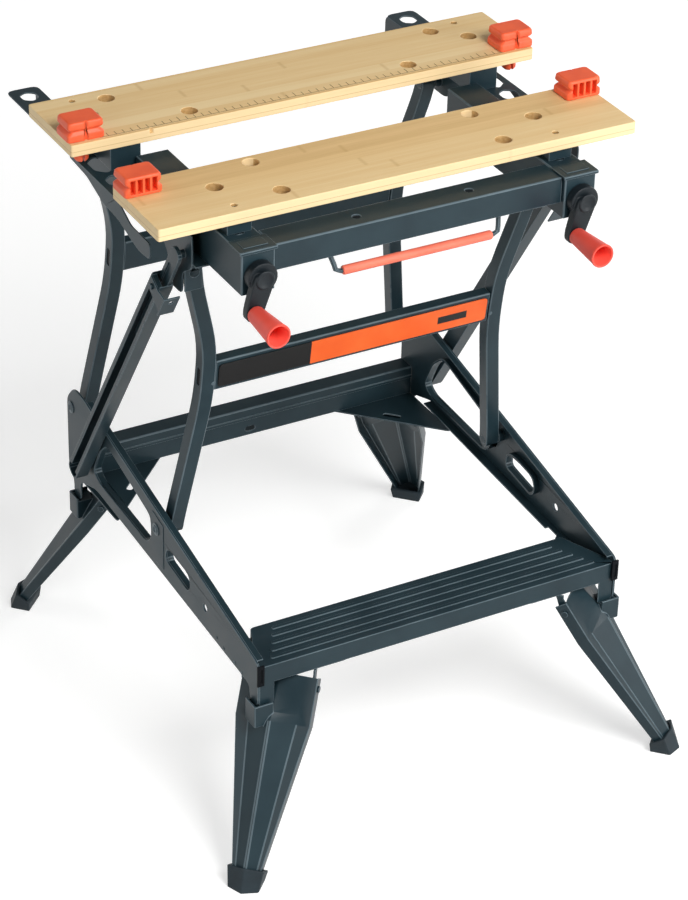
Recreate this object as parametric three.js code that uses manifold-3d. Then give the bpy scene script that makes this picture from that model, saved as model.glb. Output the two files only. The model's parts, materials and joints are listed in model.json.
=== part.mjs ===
// Folding workbench: a two-height bench with a bamboo vise top on parallel H-frames.
// Millimetres, +Z up, +X to the user's right, the step at -Y; the origin is on the floor.
import * as THREE from 'three';
import { mergeVertices } from 'three/addons/utils/BufferGeometryUtils.js';
import Module from 'manifold-3d';

const wasm = await Module();
wasm.setup();

// Sheet steel and running gaps
const SHEET = 2;
const FIT = 0.3;
const RUN = 0.5;
const BEAD = 3;
const PIN_RADIUS = 5;
const PIN_HEAD_RADIUS = 9;
const PIN_HEAD = 2.7;

// Base: step, side beams, rear bar
const FRAME_HALF = 240;
const BASE_FRONT = -255;
const STEP_TOP = 247;
const STEP_DEPTH = 77;
const STEP_FACE = 24;
const STEP_REAR_HALF = 213;
const STEP_RIBS = 5;
const STEP_RIB_WIDTH = 5;
const STEP_RIB_HEIGHT = 1.2;
const PIVOT_FROM_FRONT = 266;
const PIVOT_ABOVE_STEP = 36;
const PIVOT_SPACING = 246;
const PIVOT_RISE = 38;
const BEAM_FRONT_RISE = 7;
const BEAM_LIP = 12;
const BEAM_FIN = 31;
const BEAM_TAIL = 13;
const BEAM_CORNER = 9;
const BEAM_HOLE_AHEAD = 130;
const BEAM_HOLE_BELOW = 34;
const POST_DROP = 29;
const POST_WIDTH = 21;
const REAR_BAR_HEIGHT = 40;
const REAR_BAR_DEPTH = 26;
const REAR_BAR_INSET = 4;
const REAR_BAR_BEAD = 4;
const REAR_BAR_BEAD_DROP = 12;
const KEYHOLE_WIDTH = 14;
const KEYHOLE_HEIGHT = 7;
const KEYHOLE_RISE = 6;

// Corner feet
const FOOT_HINGE_INSET = 40;
const FOOT_HINGE_FROM_FRONT = 25;
const REAR_POST_INSET = 15;
const FOOT_HINGE_DROP = 23;
const FOOT_SPLAY = 131;
const FOOT_TOP_WIDTH = 90;
const FOOT_TIP_WIDTH = 32;
const FOOT_ABOVE_PIN = 12.5;
const FOOT_SHOULDER = 45;
const FOOT_END_ABOVE_FLOOR = 8;
const FOOT_STRIP = 16;
const FOOT_TIP_STRIP = 4;
const FOOT_RIDGE = 16;
const FOOT_TOP_RIDGE = 5;
const FOOT_TIP_RIDGE = 6;
const FOOT_CREST = 3;
const FOOT_FLANGE = 16;
const FOOT_TIP_FLANGE = 12;
const FOOT_PIN_DEPTH = 9;
const FOOT_PIN_RADIUS = 4;
const CUP_DEPTH = 25;
const CUP_REACH = 21;
const CUP_RIM = 4;
const CUP_WALL = 2.5;
const CUP_SLACK = 1.5;
const CAP_GRIP = 12;
const CAP_WALL = 4.5;
const SOLE_WIDTH = 38;
const SOLE_HEEL = 17;
const SOLE_TOE = 17;
const SOLE_SHOULDER = 9;

// H-frames
const LEG_LENGTH = 377;
const LEG_LEAN = THREE.MathUtils.degToRad(8.4);
const LEG_WIDTH = 18;
const LEG_DEPTH = 18;
const LEG_WAIST = 28;
const LEG_SIDE_GAP = 9;
const SPACER_RADIUS = 8;
const CROSSBAR_TOP = 242;
const CROSSBAR_HEIGHT = 42;
const CROSSBAR_DEPTH = 14;
const CROSSBAR_SETBACK = 2;
const TONGUE_HEIGHT = 30;
const TONGUE_THICKNESS = 4;
const TONGUE_PAST = 6;
const LEG_EYE_WIDTH = 8;
const LEG_EYE_HEIGHT = 24;
const LEG_BEND_EASE = 30;
const LABEL_THICKNESS = 1.5;
const LABEL_MARGIN = 5;
const LABEL_SHORT = 4;

// Side rails and vise channels, from the front top pivot
const RAIL_REAR = 384;
const RAIL_WEB_FRONT = -42;
const RAIL_BOTTOM = 31;
const RAIL_HEIGHT = 39;
const RAIL_FLANGE = 40;
const RAIL_FLANGE_FRONT = 69;
const RAIL_SKIRT_FRONT = -14;
const RAIL_SEAT_FRONT = -50;
const RAIL_SKIRT_DROP = 16;
const EAR_RADIUS = 17;
const CHANNEL_FRONT = -131;
const CHANNEL_LENGTH = 265;
const CHANNEL_WIDTH = 41;
const CHANNEL_HEIGHT = 51;
const CHANNEL_INSET = 14;
const SLOT_WIDTH = 13;
const SCREW_RADIUS = 6;
const SCREW_DROP = 28;
const SCREW_SHORT = 8;
const FRONT_BEAM_DEPTH = 38;
const FRONT_BEAM_HEIGHT = 32;
const FRONT_BEAM_SETBACK = 5;
const FRONT_BEAM_HOLE_X = 72;
const FRONT_BEAM_HOLE_RADIUS = 5;
const EMBOSS_MARGIN = 6;
const EMBOSS_LENGTH = 20;
const EMBOSS_HEIGHT = 1;
const EAR_HOLE_RADIUS = 6;

// Jaws, carriages and grips
const JAW_LENGTH = 610;
const FRONT_JAW_WIDTH = 117;
const REAR_JAW_WIDTH = 121;
const JAW_THICKNESS = 15;
const JAW_GAP = 109;
const JAW_TRAVEL = 108;
const JAW_OPENING = 12;
const JAW_CORNER = 3;
const FRONT_JAW_EDGE = -90;
const CARRIAGE_HEIGHT = 13;
const CARRIAGE_WIDTH = 30;
const CARRIAGE_LENGTH = 100;
const NUT_LENGTH = 44;
const NECK_LENGTH = 26;
const PAD_SETBACK = 4;
const NUT_FROM_PAD = 24;
const NUT_BELOW_SCREW = 14;
const BRACKET_IN = 22;
const BRACKET_OUT = 16;
const BRACKET_WALL = 2.5;
const BRACKET_NEAR = 2;
const BRACKET_FAR = 10;
const DOG_HOLE_RADIUS = 10;
const SCREW_HOLE_RADIUS = 4;
const GRIP_LENGTH = 46;
const GRIP_DEPTH = 34;
const GRIP_HEIGHT = 24;
const GRIP_FROM_END = 21;
const GRIP_FROM_EDGE = 21;
const GRIP_WAIST = 5;
const GRIP_CREASE = 4;
const GRIP_TAPER = 3;
const GRIP_CORES = 4;
const GRIP_CORE_PITCH = 8;
const GRIP_CORE_WIDTH = 4.6;
const GRIP_CORE_DEPTH = 9;
const GRIP_CORE_FLOOR = 4;
const GRIP_CORE_HEADROOM = 5;
const PEG_RADIUS = 9;
const PEG_BELOW = 10;
const PEG_SPLIT = 5;
const PEG_ROOT = 5;

// Holes of the jaws: places across from the middle, and along from an edge of the board
const FRONT_DOG_X = 142;
const FRONT_DOG_NEAR = 27;
const FRONT_DOG_FAR = 15;
const CHANNEL_DOG_FAR = 52;
const FRONT_FIXING_NEAR = 17;
const REAR_DOG_INNER = { x: 145, near: 25 };
const REAR_DOG_MIDDLE = { x: 217, far: 24 };
const REAR_DOG_OUTER = { x: 252, near: 65 };
const REAR_FIXING = { x: 256, far: 14 };
const NOTCH_X = 205;
const NOTCH_WIDTH = 6;
const NOTCH_DEPTH = 5;

// Cranks and release bar
const CRANK_HUB_RADIUS = 18;
const CRANK_HUB_LENGTH = 12;
const CRANK_THROW = 40;
const CRANK_ARM_THICKNESS = 10;
const CRANK_LEAN = THREE.MathUtils.degToRad(18);
const KNOB_LENGTH = 56;
const KNOB_ROOT_RADIUS = 10;
const KNOB_MOUTH_RADIUS = 14.5;
const KNOB_WALL = 2.5;
const SPINDLE_RADIUS = 4;
const SPINDLE_LENGTH = 17;
const KNOB_FLOOR = 19.6;
const WIRE_RADIUS = 3;
const RELEASE_HALF = 104;
const RELEASE_DROP = 37;
const RELEASE_FORWARD = 14;
const RELEASE_LUG = 3;
const SLEEVE_RADIUS = 5.5;
const SLEEVE_SHORT = 8;

// Side struts
const STRUT_FOOT_FROM_REAR_PIVOT = -48;
const STRUT_FOOT_BELOW_REAR_PIVOT = 58;
const STRUT_TOP_Y = -23;
const STRUT_TOP_Z = 38;
const STRUT_WIDTH = 24;
const STRUT_DEPTH = 17;
const STRUT_INNER_X = FRAME_HALF + 7;
const STRUT_SHORT_OF_PIN = 45;
const SLIDER_LAP = 145;
const SLIDER_THICKNESS = 5;
const LATCH_REACH = 46;
const LATCH_FROM_TOP = 62;
const LATCH_PIN_RADIUS = 3.5;
const LATCH_TAB = 14;

// Derived places in the base
const baseUnderside = STEP_TOP - STEP_FACE;
const frontPivot = { y: BASE_FRONT + PIVOT_FROM_FRONT, z: STEP_TOP + PIVOT_ABOVE_STEP };
const rearPivot = { y: frontPivot.y + PIVOT_SPACING, z: frontPivot.z + PIVOT_RISE };
const baseRear = rearPivot.y + BEAM_TAIL;
const postBottom = baseUnderside - POST_DROP;
const rearPostEnd = baseRear - REAR_POST_INSET;
const footHingeZ = baseUnderside - FOOT_HINGE_DROP;
const footLean = Math.atan2(FOOT_SPLAY, footHingeZ);
const strutFoot = {
  y: rearPivot.y + STRUT_FOOT_FROM_REAR_PIVOT,
  z: rearPivot.z - STRUT_FOOT_BELOW_REAR_PIVOT,
};

// The legs' outer faces stand off the beams and rails by a spacer on each pivot.
const legOuter = FRAME_HALF - LEG_SIDE_GAP;
const legInner = legOuter - LEG_WIDTH;
const pinInnerEnd = legInner - SHEET;

// Derived places in the top frame, whose own origin is the front top pivot
const topOrigin = {
  y: frontPivot.y - LEG_LENGTH * Math.sin(LEG_LEAN),
  z: frontPivot.z + LEG_LENGTH * Math.cos(LEG_LEAN),
};
const railTop = RAIL_BOTTOM + RAIL_HEIGHT;
const channelOuter = FRAME_HALF - CHANNEL_INSET;
const channelInner = channelOuter - CHANNEL_WIDTH;
const channelMiddle = (channelInner + channelOuter) / 2;
const channelBottom = RAIL_BOTTOM + SHEET + FIT;
const channelTop = channelBottom + CHANNEL_HEIGHT;
const channelRear = CHANNEL_FRONT + CHANNEL_LENGTH;
const screwZ = channelTop - SCREW_DROP;
const jawUnderside = channelTop + FIT + CARRIAGE_HEIGHT + FIT;
const jawTop = jawUnderside + JAW_THICKNESS;
const rearJawEdge = FRONT_JAW_EDGE + FRONT_JAW_WIDTH + JAW_GAP;
const jawHalf = JAW_LENGTH / 2;
const padFront = FRONT_JAW_EDGE + PAD_SETBACK;
const nutMiddle = padFront + NUT_FROM_PAD;

const steel = { color: 0x3c484e, roughness: 0.45, metalness: 0.35 };
const bamboo = { color: 0xe8cf98, roughness: 0.6, metalness: 0 };
const orangePlastic = { color: 0xf26846, roughness: 0.5, metalness: 0 };
const coralPlastic = { color: 0xfa6455, roughness: 0.45, metalness: 0 };
const salmonFoam = { color: 0xf88069, roughness: 0.7, metalness: 0 };
const blackPlastic = { color: 0x20262a, roughness: 0.6, metalness: 0 };
const labelPrint = { color: 0xee6222, roughness: 0.4, metalness: 0 };
const brightSteel = { color: 0x8c9296, roughness: 0.35, metalness: 0.9 };

// Solids: closed geometry to and from the boolean library

function solidOf(geometry) {
  const bare = geometry.clone();
  bare.deleteAttribute('normal');
  bare.deleteAttribute('uv');
  const merged = mergeVertices(bare, 1e-4);
  const mesh = new wasm.Mesh({
    numProp: 3,
    vertProperties: Float32Array.from(merged.attributes.position.array),
    triVerts: Uint32Array.from(merged.index.array),
  });
  return new wasm.Manifold(mesh);
}

function geometryOf(solid) {
  const { vertProperties, triVerts } = solid.getMesh();
  const geometry = new THREE.BufferGeometry();
  geometry.setAttribute('position', new THREE.BufferAttribute(Float32Array.from(vertProperties), 3));
  geometry.setIndex(new THREE.BufferAttribute(Uint32Array.from(triVerts), 1));
  return geometry;
}

function mirroredX(geometry) {
  const mirrored = geometry.clone().scale(-1, 1, 1);
  const index = mirrored.index.array;
  for (let i = 0; i < index.length; i += 3) {
    [index[i], index[i + 1]] = [index[i + 1], index[i]];
  }
  return mirrored;
}

function joined(first, ...rest) {
  return rest.reduce((whole, piece) => whole.add(piece), first);
}

function cutBy(solid, ...tools) {
  return tools.reduce((left, tool) => left.subtract(tool), solid);
}

function block(x, y, z) {
  const geometry = new THREE.BoxGeometry(x[1] - x[0], y[1] - y[0], z[1] - z[0]);
  geometry.translate((x[0] + x[1]) / 2, (y[0] + y[1]) / 2, (z[0] + z[1]) / 2);
  return solidOf(geometry);
}

// A round bar along one axis; at gives its place on the other two axes, in X, Y, Z order.
function bar(axis, radius, span, at, sides = 16, endRadius = radius) {
  const geometry = new THREE.CylinderGeometry(endRadius, radius, span[1] - span[0], sides);
  const middle = (span[0] + span[1]) / 2;
  if (axis === 'x') geometry.rotateZ(-Math.PI / 2).translate(middle, at[0], at[1]);
  if (axis === 'y') geometry.translate(at[0], middle, at[1]);
  if (axis === 'z') geometry.rotateX(Math.PI / 2).translate(at[0], at[1], middle);
  return solidOf(geometry);
}

// Flat plates: an outline in the plane square to an axis, extruded between two places on it.

function extruded(outline, span) {
  const isShape = outline instanceof THREE.Shape;
  const shape = isShape ? outline : new THREE.Shape(outline.map(([u, v]) => new THREE.Vector2(u, v)));
  return new THREE.ExtrudeGeometry(shape, {
    depth: span[1] - span[0],
    bevelEnabled: false,
    curveSegments: 3,
  });
}

function plateX(outline, span) {
  const toX = new THREE.Matrix4().set(0, 0, 1, span[0], 1, 0, 0, 0, 0, 1, 0, 0, 0, 0, 0, 1);
  return solidOf(extruded(outline, span).applyMatrix4(toX));
}

function plateY(outline, span) {
  const toY = new THREE.Matrix4().set(1, 0, 0, 0, 0, 0, -1, span[1], 0, 1, 0, 0, 0, 0, 0, 1);
  return solidOf(extruded(outline, span).applyMatrix4(toY));
}

function plateZ(outline, span) {
  return solidOf(extruded(outline, span).translate(0, 0, span[0]));
}

// A polygon with its corners rounded, each by no more than half of its shorter side.
function rounded(points, radius) {
  const shape = new THREE.Shape();
  const count = points.length;
  points.forEach((corner, i) => {
    const before = points[(i + count - 1) % count];
    const after = points[(i + 1) % count];
    const toBefore = Math.hypot(before[0] - corner[0], before[1] - corner[1]);
    const toAfter = Math.hypot(after[0] - corner[0], after[1] - corner[1]);
    const cut = Math.min(radius, toBefore * 0.49, toAfter * 0.49);
    const start = [0, 1].map((k) => corner[k] + (before[k] - corner[k]) * (cut / toBefore));
    const end = [0, 1].map((k) => corner[k] + (after[k] - corner[k]) * (cut / toAfter));
    if (i === 0) shape.moveTo(...start);
    else shape.lineTo(...start);
    shape.quadraticCurveTo(...corner, ...end);
  });
  shape.closePath();
  return shape;
}

// The same polygon with every side moved inwards by a distance.
function inset(points, distance) {
  const turned = THREE.ShapeUtils.area(points.map(([u, v]) => new THREE.Vector2(u, v))) < 0 ? -1 : 1;
  const count = points.length;
  const sides = points.map((from, i) => {
    const to = points[(i + 1) % count];
    const length = Math.hypot(to[0] - from[0], to[1] - from[1]);
    const direction = [(to[0] - from[0]) / length, (to[1] - from[1]) / length];
    const normal = [-direction[1] * turned, direction[0] * turned];
    return { point: [from[0] + normal[0] * distance, from[1] + normal[1] * distance], direction };
  });
  return sides.map((side, i) => {
    const last = sides[(i + count - 1) % count];
    const cross = last.direction[0] * side.direction[1] - last.direction[1] * side.direction[0];
    const gap = [side.point[0] - last.point[0], side.point[1] - last.point[1]];
    const along = (gap[0] * side.direction[1] - gap[1] * side.direction[0]) / cross;
    return [last.point[0] + last.direction[0] * along, last.point[1] + last.direction[1] * along];
  });
}

function rectangle(u, v) {
  return [[u[0], v[0]], [u[1], v[0]], [u[1], v[1]], [u[0], v[1]]];
}

// A closed skin through rings of points, each ring clockwise as seen from the last one.
function loft(rings) {
  const count = rings[0].length;
  const positions = rings.flat(2);
  const faces = [];
  for (let r = 0; r + 1 < rings.length; r += 1) {
    for (let i = 0; i < count; i += 1) {
      const a = r * count + i;
      const b = r * count + ((i + 1) % count);
      faces.push(a, a + count, b, b, a + count, b + count);
    }
  }
  const flat = flattened(rings[0]);
  const last = (rings.length - 1) * count;
  for (const [a, b, c] of THREE.ShapeUtils.triangulateShape(flat, [])) {
    faces.push(a, b, c, last + a, last + c, last + b);
  }
  const geometry = new THREE.BufferGeometry();
  geometry.setAttribute('position', new THREE.BufferAttribute(Float32Array.from(positions), 3));
  geometry.setIndex(faces);
  return solidOf(geometry);
}

// A ring of points seen along its own normal, so that its end face can be cut into triangles.
function flattened(ring) {
  const corners = ring.map((p) => new THREE.Vector3(...p));
  const normal = new THREE.Vector3();
  corners.forEach((p, i) => {
    normal.add(new THREE.Vector3().crossVectors(p, corners[(i + 1) % corners.length]));
  });
  normal.normalize();
  const side = Math.abs(normal.y) < 0.9 ? new THREE.Vector3(0, 1, 0) : new THREE.Vector3(1, 0, 0);
  const right = new THREE.Vector3().crossVectors(side, normal).normalize();
  const up = new THREE.Vector3().crossVectors(normal, right);
  return corners.map((p) => new THREE.Vector2(p.dot(right), p.dot(up)));
}

// Nodes: one named mesh for each piece

function addPiece(parent, name, shape, finish) {
  const geometry = shape.isBufferGeometry ? shape : geometryOf(shape);
  const flat = geometry.toNonIndexed();
  flat.computeVertexNormals();
  const mesh = new THREE.Mesh(flat, new THREE.MeshStandardMaterial(finish));
  mesh.name = name;
  parent.add(mesh);
  return mesh;
}

// A piece of the right side and its mirror image on the left.
function addPair(parent, name, solid, finish) {
  const right = geometryOf(solid);
  addPiece(parent, `${name}_right`, right, finish);
  addPiece(parent, `${name}_left`, mirroredX(right), finish);
}

// Base

// The side beam is a pressed panel with two windows, beads on its edges and a lip along its foot.
function sideBeam() {
  const frontTop = STEP_TOP + BEAM_FRONT_RISE;
  const finTop = rearPivot.z + BEAM_FIN;
  const footFront = { y: BASE_FRONT + POST_WIDTH, z: baseUnderside - 10 };
  const footRear = { y: rearPivot.y - 71, z: baseUnderside + 15 };
  const rearPost = [rearPostEnd - POST_WIDTH, rearPostEnd];
  const outline = [
    [rearPost[1], postBottom],
    [rearPost[1], baseUnderside - 6],
    [baseRear, baseUnderside + 9],
    [baseRear, rearPivot.z + 9],
    [baseRear - 20, finTop],
    [rearPivot.y - 32, finTop],
    [BASE_FRONT, frontTop],
    [BASE_FRONT, postBottom],
    [footFront.y, postBottom],
    [footFront.y, footFront.z],
    [footRear.y, footRear.z],
    [rearPost[0], baseUnderside],
    [rearPost[0], postBottom],
  ];
  const rearWindow = [
    [rearPivot.y - 83, rearPivot.z - 19],
    [rearPivot.y - 63, rearPivot.z - 59],
    [rearPivot.y - 80, rearPivot.z - 68],
    [frontPivot.y + 30, frontPivot.z - 36],
    [frontPivot.y + 16, frontPivot.z - 22],
    [frontPivot.y + 18, frontPivot.z + 8],
    [rearPivot.y - 107, rearPivot.z + 1],
  ];
  const frontWindow = [
    [frontPivot.y - 26, frontPivot.z - 13],
    [frontPivot.y - 23, frontPivot.z - 31],
    [frontPivot.y - 85, frontPivot.z - 39],
    [frontPivot.y - 91, frontPivot.z - 27],
    [frontPivot.y - 85, frontPivot.z - 14],
    [frontPivot.y - 42, frontPivot.z - 9],
  ];
  const face = FRAME_HALF + SHEET;
  const skin = [FRAME_HALF, face];
  const proud = [face - SHEET / 2, face + BEAD];
  const through = [FRAME_HALF - 1, face + BEAD + 1];
  const lipFront = { y: BASE_FRONT + STEP_DEPTH + 60, z: 0 };
  const rise = (footRear.z - footFront.z) / (footRear.y - footFront.y);
  lipFront.z = footFront.z + (lipFront.y - footFront.y) * rise;
  const lip = [
    [lipFront.y, lipFront.z],
    [footRear.y, footRear.z],
    [footRear.y, footRear.z + SHEET],
    [lipFront.y, lipFront.z + SHEET],
  ];
  const recess = rounded(inset(outline, BEAD), BEAM_CORNER - BEAD);
  const edge = plateX(rounded(outline, BEAM_CORNER), proud).subtract(plateX(recess, through));
  let beam = joined(
    plateX(rounded(outline, BEAM_CORNER), skin),
    edge,
    plateX(lip, [FRAME_HALF - BEAM_LIP, face]),
    bar('x', PIN_RADIUS, [face - 1, STRUT_INNER_X + SHEET + BEAD], [strutFoot.y, strutFoot.z]),
  );
  for (const hole of [rearWindow, frontWindow]) {
    const collar = plateX(rounded(inset(hole, -BEAD), BEAM_CORNER + BEAD), proud);
    beam = cutBy(beam.add(collar), plateX(rounded(hole, BEAM_CORNER), through));
  }
  const holeRadius = PIN_RADIUS + FIT;
  return cutBy(
    beam,
    bar('x', holeRadius, through, [frontPivot.y, frontPivot.z]),
    bar('x', holeRadius, through, [rearPivot.y, rearPivot.z]),
    bar('x', PIN_RADIUS, through, [frontPivot.y - BEAM_HOLE_AHEAD, frontPivot.z - BEAM_HOLE_BELOW]),
  );
}

// A leg pivot pin: a shank through the beam and the leg, a spacer between them and a rivet head.
function legPin(pivot) {
  const at = [pivot.y, pivot.z];
  const head = FRAME_HALF + SHEET + FIT;
  return joined(
    bar('x', PIN_RADIUS, [pinInnerEnd, head + PIN_HEAD / 2], at),
    bar('x', SPACER_RADIUS, [legOuter + FIT, FRAME_HALF - FIT], at),
    bar('x', PIN_HEAD_RADIUS, [head, head + PIN_HEAD], at, 16, PIN_HEAD_RADIUS - 2),
  );
}

// The step is an inverted tray with ribs on top and a tab at each front corner that makes the post.
function step() {
  const half = FRAME_HALF - FIT;
  const rear = BASE_FRONT + SHEET + STEP_DEPTH;
  const front = BASE_FRONT + SHEET;
  const outline = [
    [-half, front],
    [half, front],
    [half, front + 12],
    [STEP_REAR_HALF, rear],
    [-STEP_REAR_HALF, rear],
    [-half, front + 12],
  ];
  const tray = cutBy(
    plateZ(rounded(outline, 4), [baseUnderside, STEP_TOP]),
    plateZ(rounded(inset(outline, SHEET), 3), [baseUnderside - 1, STEP_TOP - SHEET]),
  );
  const tab = (side) => {
    const x = side < 0 ? [-half, -half + POST_WIDTH - 2] : [half - POST_WIDTH + 2, half];
    return block(x, [front, front + SHEET], [postBottom, STEP_TOP - SHEET / 2]);
  };
  const pitch = STEP_DEPTH / (STEP_RIBS + 1);
  const ribs = Array.from({ length: STEP_RIBS }, (_, i) => {
    const y = front + pitch * (i + 1);
    const end = STEP_REAR_HALF - 22 + (STEP_RIBS - 1 - i) * 7;
    const rib = rectangle([-end, end], [y - STEP_RIB_WIDTH / 2, y + STEP_RIB_WIDTH / 2]);
    const height = [STEP_TOP - SHEET / 2, STEP_TOP + STEP_RIB_HEIGHT];
    return plateZ(rounded(rib, STEP_RIB_WIDTH / 2), height);
  });
  return joined(tray, tab(-1), tab(1), ...ribs);
}

// The rear bar is a channel that opens backwards, between the beams under the rear pivots.
function rearBar() {
  const half = FRAME_HALF - FIT;
  const front = baseRear - REAR_BAR_INSET - REAR_BAR_DEPTH;
  const top = baseUnderside + REAR_BAR_HEIGHT;
  const whole = block([-half, half], [front, front + REAR_BAR_DEPTH], [baseUnderside, top]);
  const inside = block(
    [-half - 1, half + 1],
    [front + SHEET, front + REAR_BAR_DEPTH + 1],
    [baseUnderside + SHEET, top - SHEET],
  );
  const beadTop = top - REAR_BAR_BEAD_DROP;
  const bead = block(
    [-half, half],
    [front - BEAD / 2, front + SHEET / 2],
    [beadTop - REAR_BAR_BEAD, beadTop],
  );
  const keyholeLow = baseUnderside + KEYHOLE_RISE;
  const keyholeOutline = rectangle(
    [-KEYHOLE_WIDTH / 2, KEYHOLE_WIDTH / 2],
    [keyholeLow, keyholeLow + KEYHOLE_HEIGHT],
  );
  const keyhole = plateY(rounded(keyholeOutline, KEYHOLE_HEIGHT / 2), [front - BEAD, front + 2 * SHEET]);
  return cutBy(joined(whole.subtract(inside), bead), keyhole);
}

// Corner feet, in a frame at the hinge: +X outwards along the splay, +Y along the hinge pin

// The post of the beam and step, by its reach outwards past the beam and past the front face
const postReach = FOOT_HINGE_INSET + SHEET + BEAD;

function footPoint(along, across, out) {
  const rise = out + FOOT_PIN_DEPTH;
  return [
    along * Math.sin(footLean) + rise * Math.cos(footLean),
    across,
    -along * Math.cos(footLean) + rise * Math.sin(footLean),
  ];
}

const footLength = (footHingeZ - FOOT_END_ABOVE_FLOOR) / Math.cos(footLean);
const footTop = -FOOT_ABOVE_PIN;
const capStart = footLength - CAP_GRIP;

// Stations from the top to the shoulder, close enough that the rising crest doesn't pinch the sheet
const footUpper = [0, 0.2, 0.4, 0.6, 0.8, 1].map((share) => (
  THREE.MathUtils.lerp(footTop, FOOT_SHOULDER, share)
));

// The pressed section at a distance down the foot
function footSection(along) {
  const { clamp, lerp } = THREE.MathUtils;
  const toTip = clamp((along - FOOT_SHOULDER) / (footLength - FOOT_SHOULDER), 0, 1);
  const toTop = clamp((FOOT_SHOULDER - along) / (FOOT_SHOULDER - footTop), 0, 1);
  return {
    half: lerp(FOOT_TOP_WIDTH, FOOT_TIP_WIDTH, toTip) / 2,
    strip: lerp(FOOT_STRIP, FOOT_TIP_STRIP, toTip),
    ridge: lerp(lerp(FOOT_RIDGE, FOOT_TIP_RIDGE, toTip), FOOT_TOP_RIDGE, toTop),
    flange: lerp(FOOT_FLANGE, FOOT_TIP_FLANGE, toTip),
  };
}

// Its line from rim to rim: flange, edge strip, slope, crest and back
function footLine(along, grow, depth) {
  const { half, strip, ridge } = footSection(along);
  const crest = FOOT_CREST / 2;
  return [
    [-half - grow, -depth],
    [-half - grow, grow],
    [strip - half, grow],
    [-crest, ridge + grow],
    [crest, ridge + grow],
    [half - strip, grow],
    [half + grow, grow],
    [half + grow, -depth],
  ];
}

// The cup's outline round the post's outer corner, square to the beam and so at 45 degrees to the foot
function cupOutline(hand, reach, grow) {
  const side = [postReach - reach, postReach + grow];
  const face = [FOOT_HINGE_FROM_FRONT - reach, FOOT_HINGE_FROM_FRONT + grow];
  return rectangle(side, face).map(([u, v]) => [
    Math.SQRT1_2 * (u + v),
    hand * Math.SQRT1_2 * (u - v),
  ]);
}

function foot(hand) {
  const ring = (along) => {
    const { flange } = footSection(along);
    const outer = footLine(along, 0, flange);
    const inner = footLine(along, -SHEET, flange).reverse();
    return [...outer, ...inner].map(([across, out]) => footPoint(along, across, out));
  };
  const shell = loft([...footUpper, capStart, footLength].map(ring));
  const reach = FOOT_TOP_WIDTH / 2 + 1;
  const floor = postBottom - footHingeZ - FIT;
  const cupWall = rounded(cupOutline(hand, CUP_REACH, CUP_SLACK + CUP_WALL), CUP_WALL);
  const cup = cutBy(
    plateZ(cupWall, [floor - CUP_DEPTH, floor + CUP_RIM]),
    plateZ(cupOutline(hand, 2 * CUP_REACH, CUP_SLACK), [floor, floor + CUP_DEPTH]),
  );
  const under = loft([2 * footTop, ...footUpper, footLength].map((along) => (
    footLine(along, -SHEET / 2, FOOT_TOP_WIDTH).map(([across, out]) => footPoint(along, across, out))
  )));
  return cutBy(
    joined(shell, cup.subtract(under)),
    bar('y', FOOT_PIN_RADIUS + FIT, [-reach, reach], [0, 0], 12),
  );
}

// A moulded boot on the foot's tip, flat on the floor, with a pointed toe below the crest.
function footCap() {
  const { half, ridge, flange } = footSection(capStart);
  const rim = half + CAP_WALL;
  const sole = SOLE_WIDTH / 2;
  const top = [
    [-rim, -flange - CAP_WALL],
    [-rim, CAP_WALL],
    [0, ridge + CAP_WALL],
    [rim, CAP_WALL],
    [rim, -flange - CAP_WALL],
  ];
  const bottom = [
    [-SOLE_HEEL, -sole],
    [SOLE_SHOULDER, -sole],
    [SOLE_TOE, 0],
    [SOLE_SHOULDER, sole],
    [-SOLE_HEEL, sole],
  ];
  const body = loft([
    top.map(([across, out]) => footPoint(capStart, across, out)),
    bottom.map(([along, across]) => [FOOT_SPLAY + along, across, -footHingeZ]),
  ]);
  const pocket = loft([capStart - CAP_GRIP, capStart, footLength + FIT].map((along) => {
    const section = footSection(along);
    const side = section.half + FIT;
    const floor = -section.flange - FIT;
    const crest = FOOT_CREST / 2 + FIT;
    return [
      [-side, floor],
      [-side, FIT],
      [-crest, section.ridge + FIT],
      [crest, section.ridge + FIT],
      [side, FIT],
      [side, floor],
    ].map(([across, out]) => footPoint(along, across, out));
  }));
  return body.subtract(pocket);
}

// The corner gusset under the base carries the hinge pin on two ears.
function gusset(hand) {
  const toBeam = FOOT_HINGE_INSET - FIT;
  const toFace = FOOT_HINGE_FROM_FRONT - 2 * SHEET - FIT;
  const cornerNear = Math.SQRT1_2 * (toBeam + toFace);
  const cornerSide = hand * Math.SQRT1_2 * (toBeam - toFace);
  const spread = cornerNear + 42;
  const underside = FOOT_HINGE_DROP - FIT;
  const outline = [
    [cornerNear, cornerSide],
    [cornerNear - spread, cornerSide + spread],
    [cornerNear - spread, cornerSide - spread],
  ];
  const plate = plateZ(rounded(outline, 8), [underside - SHEET, underside]);
  const slotOutline = rectangle([-34, -26], [cornerSide - 12, cornerSide + 12]);
  const slot = plateZ(rounded(slotOutline, 4), [0, underside + 1]);
  const earSide = FOOT_TOP_WIDTH / 2 - SHEET - 3;
  const earOutline = [
    [-14, underside - 1],
    [-6.5, -2],
    [-4, -5.2],
    [4, -5.2],
    [6.3, -1.5],
    [5.5, 3],
    [1, 8.5],
    [-4, 16.5],
    [-4, underside - 1],
  ];
  const ear = (side) => plateY(
    earOutline,
    side < 0 ? [-earSide, -earSide + CUP_WALL] : [earSide - CUP_WALL, earSide],
  );
  const pin = bar('y', FOOT_PIN_RADIUS, [-FOOT_TOP_WIDTH / 2 - 2, FOOT_TOP_WIDTH / 2 + 2], [0, 0], 12);
  return joined(plate.subtract(slot), ear(-1), ear(1), pin);
}

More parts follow.
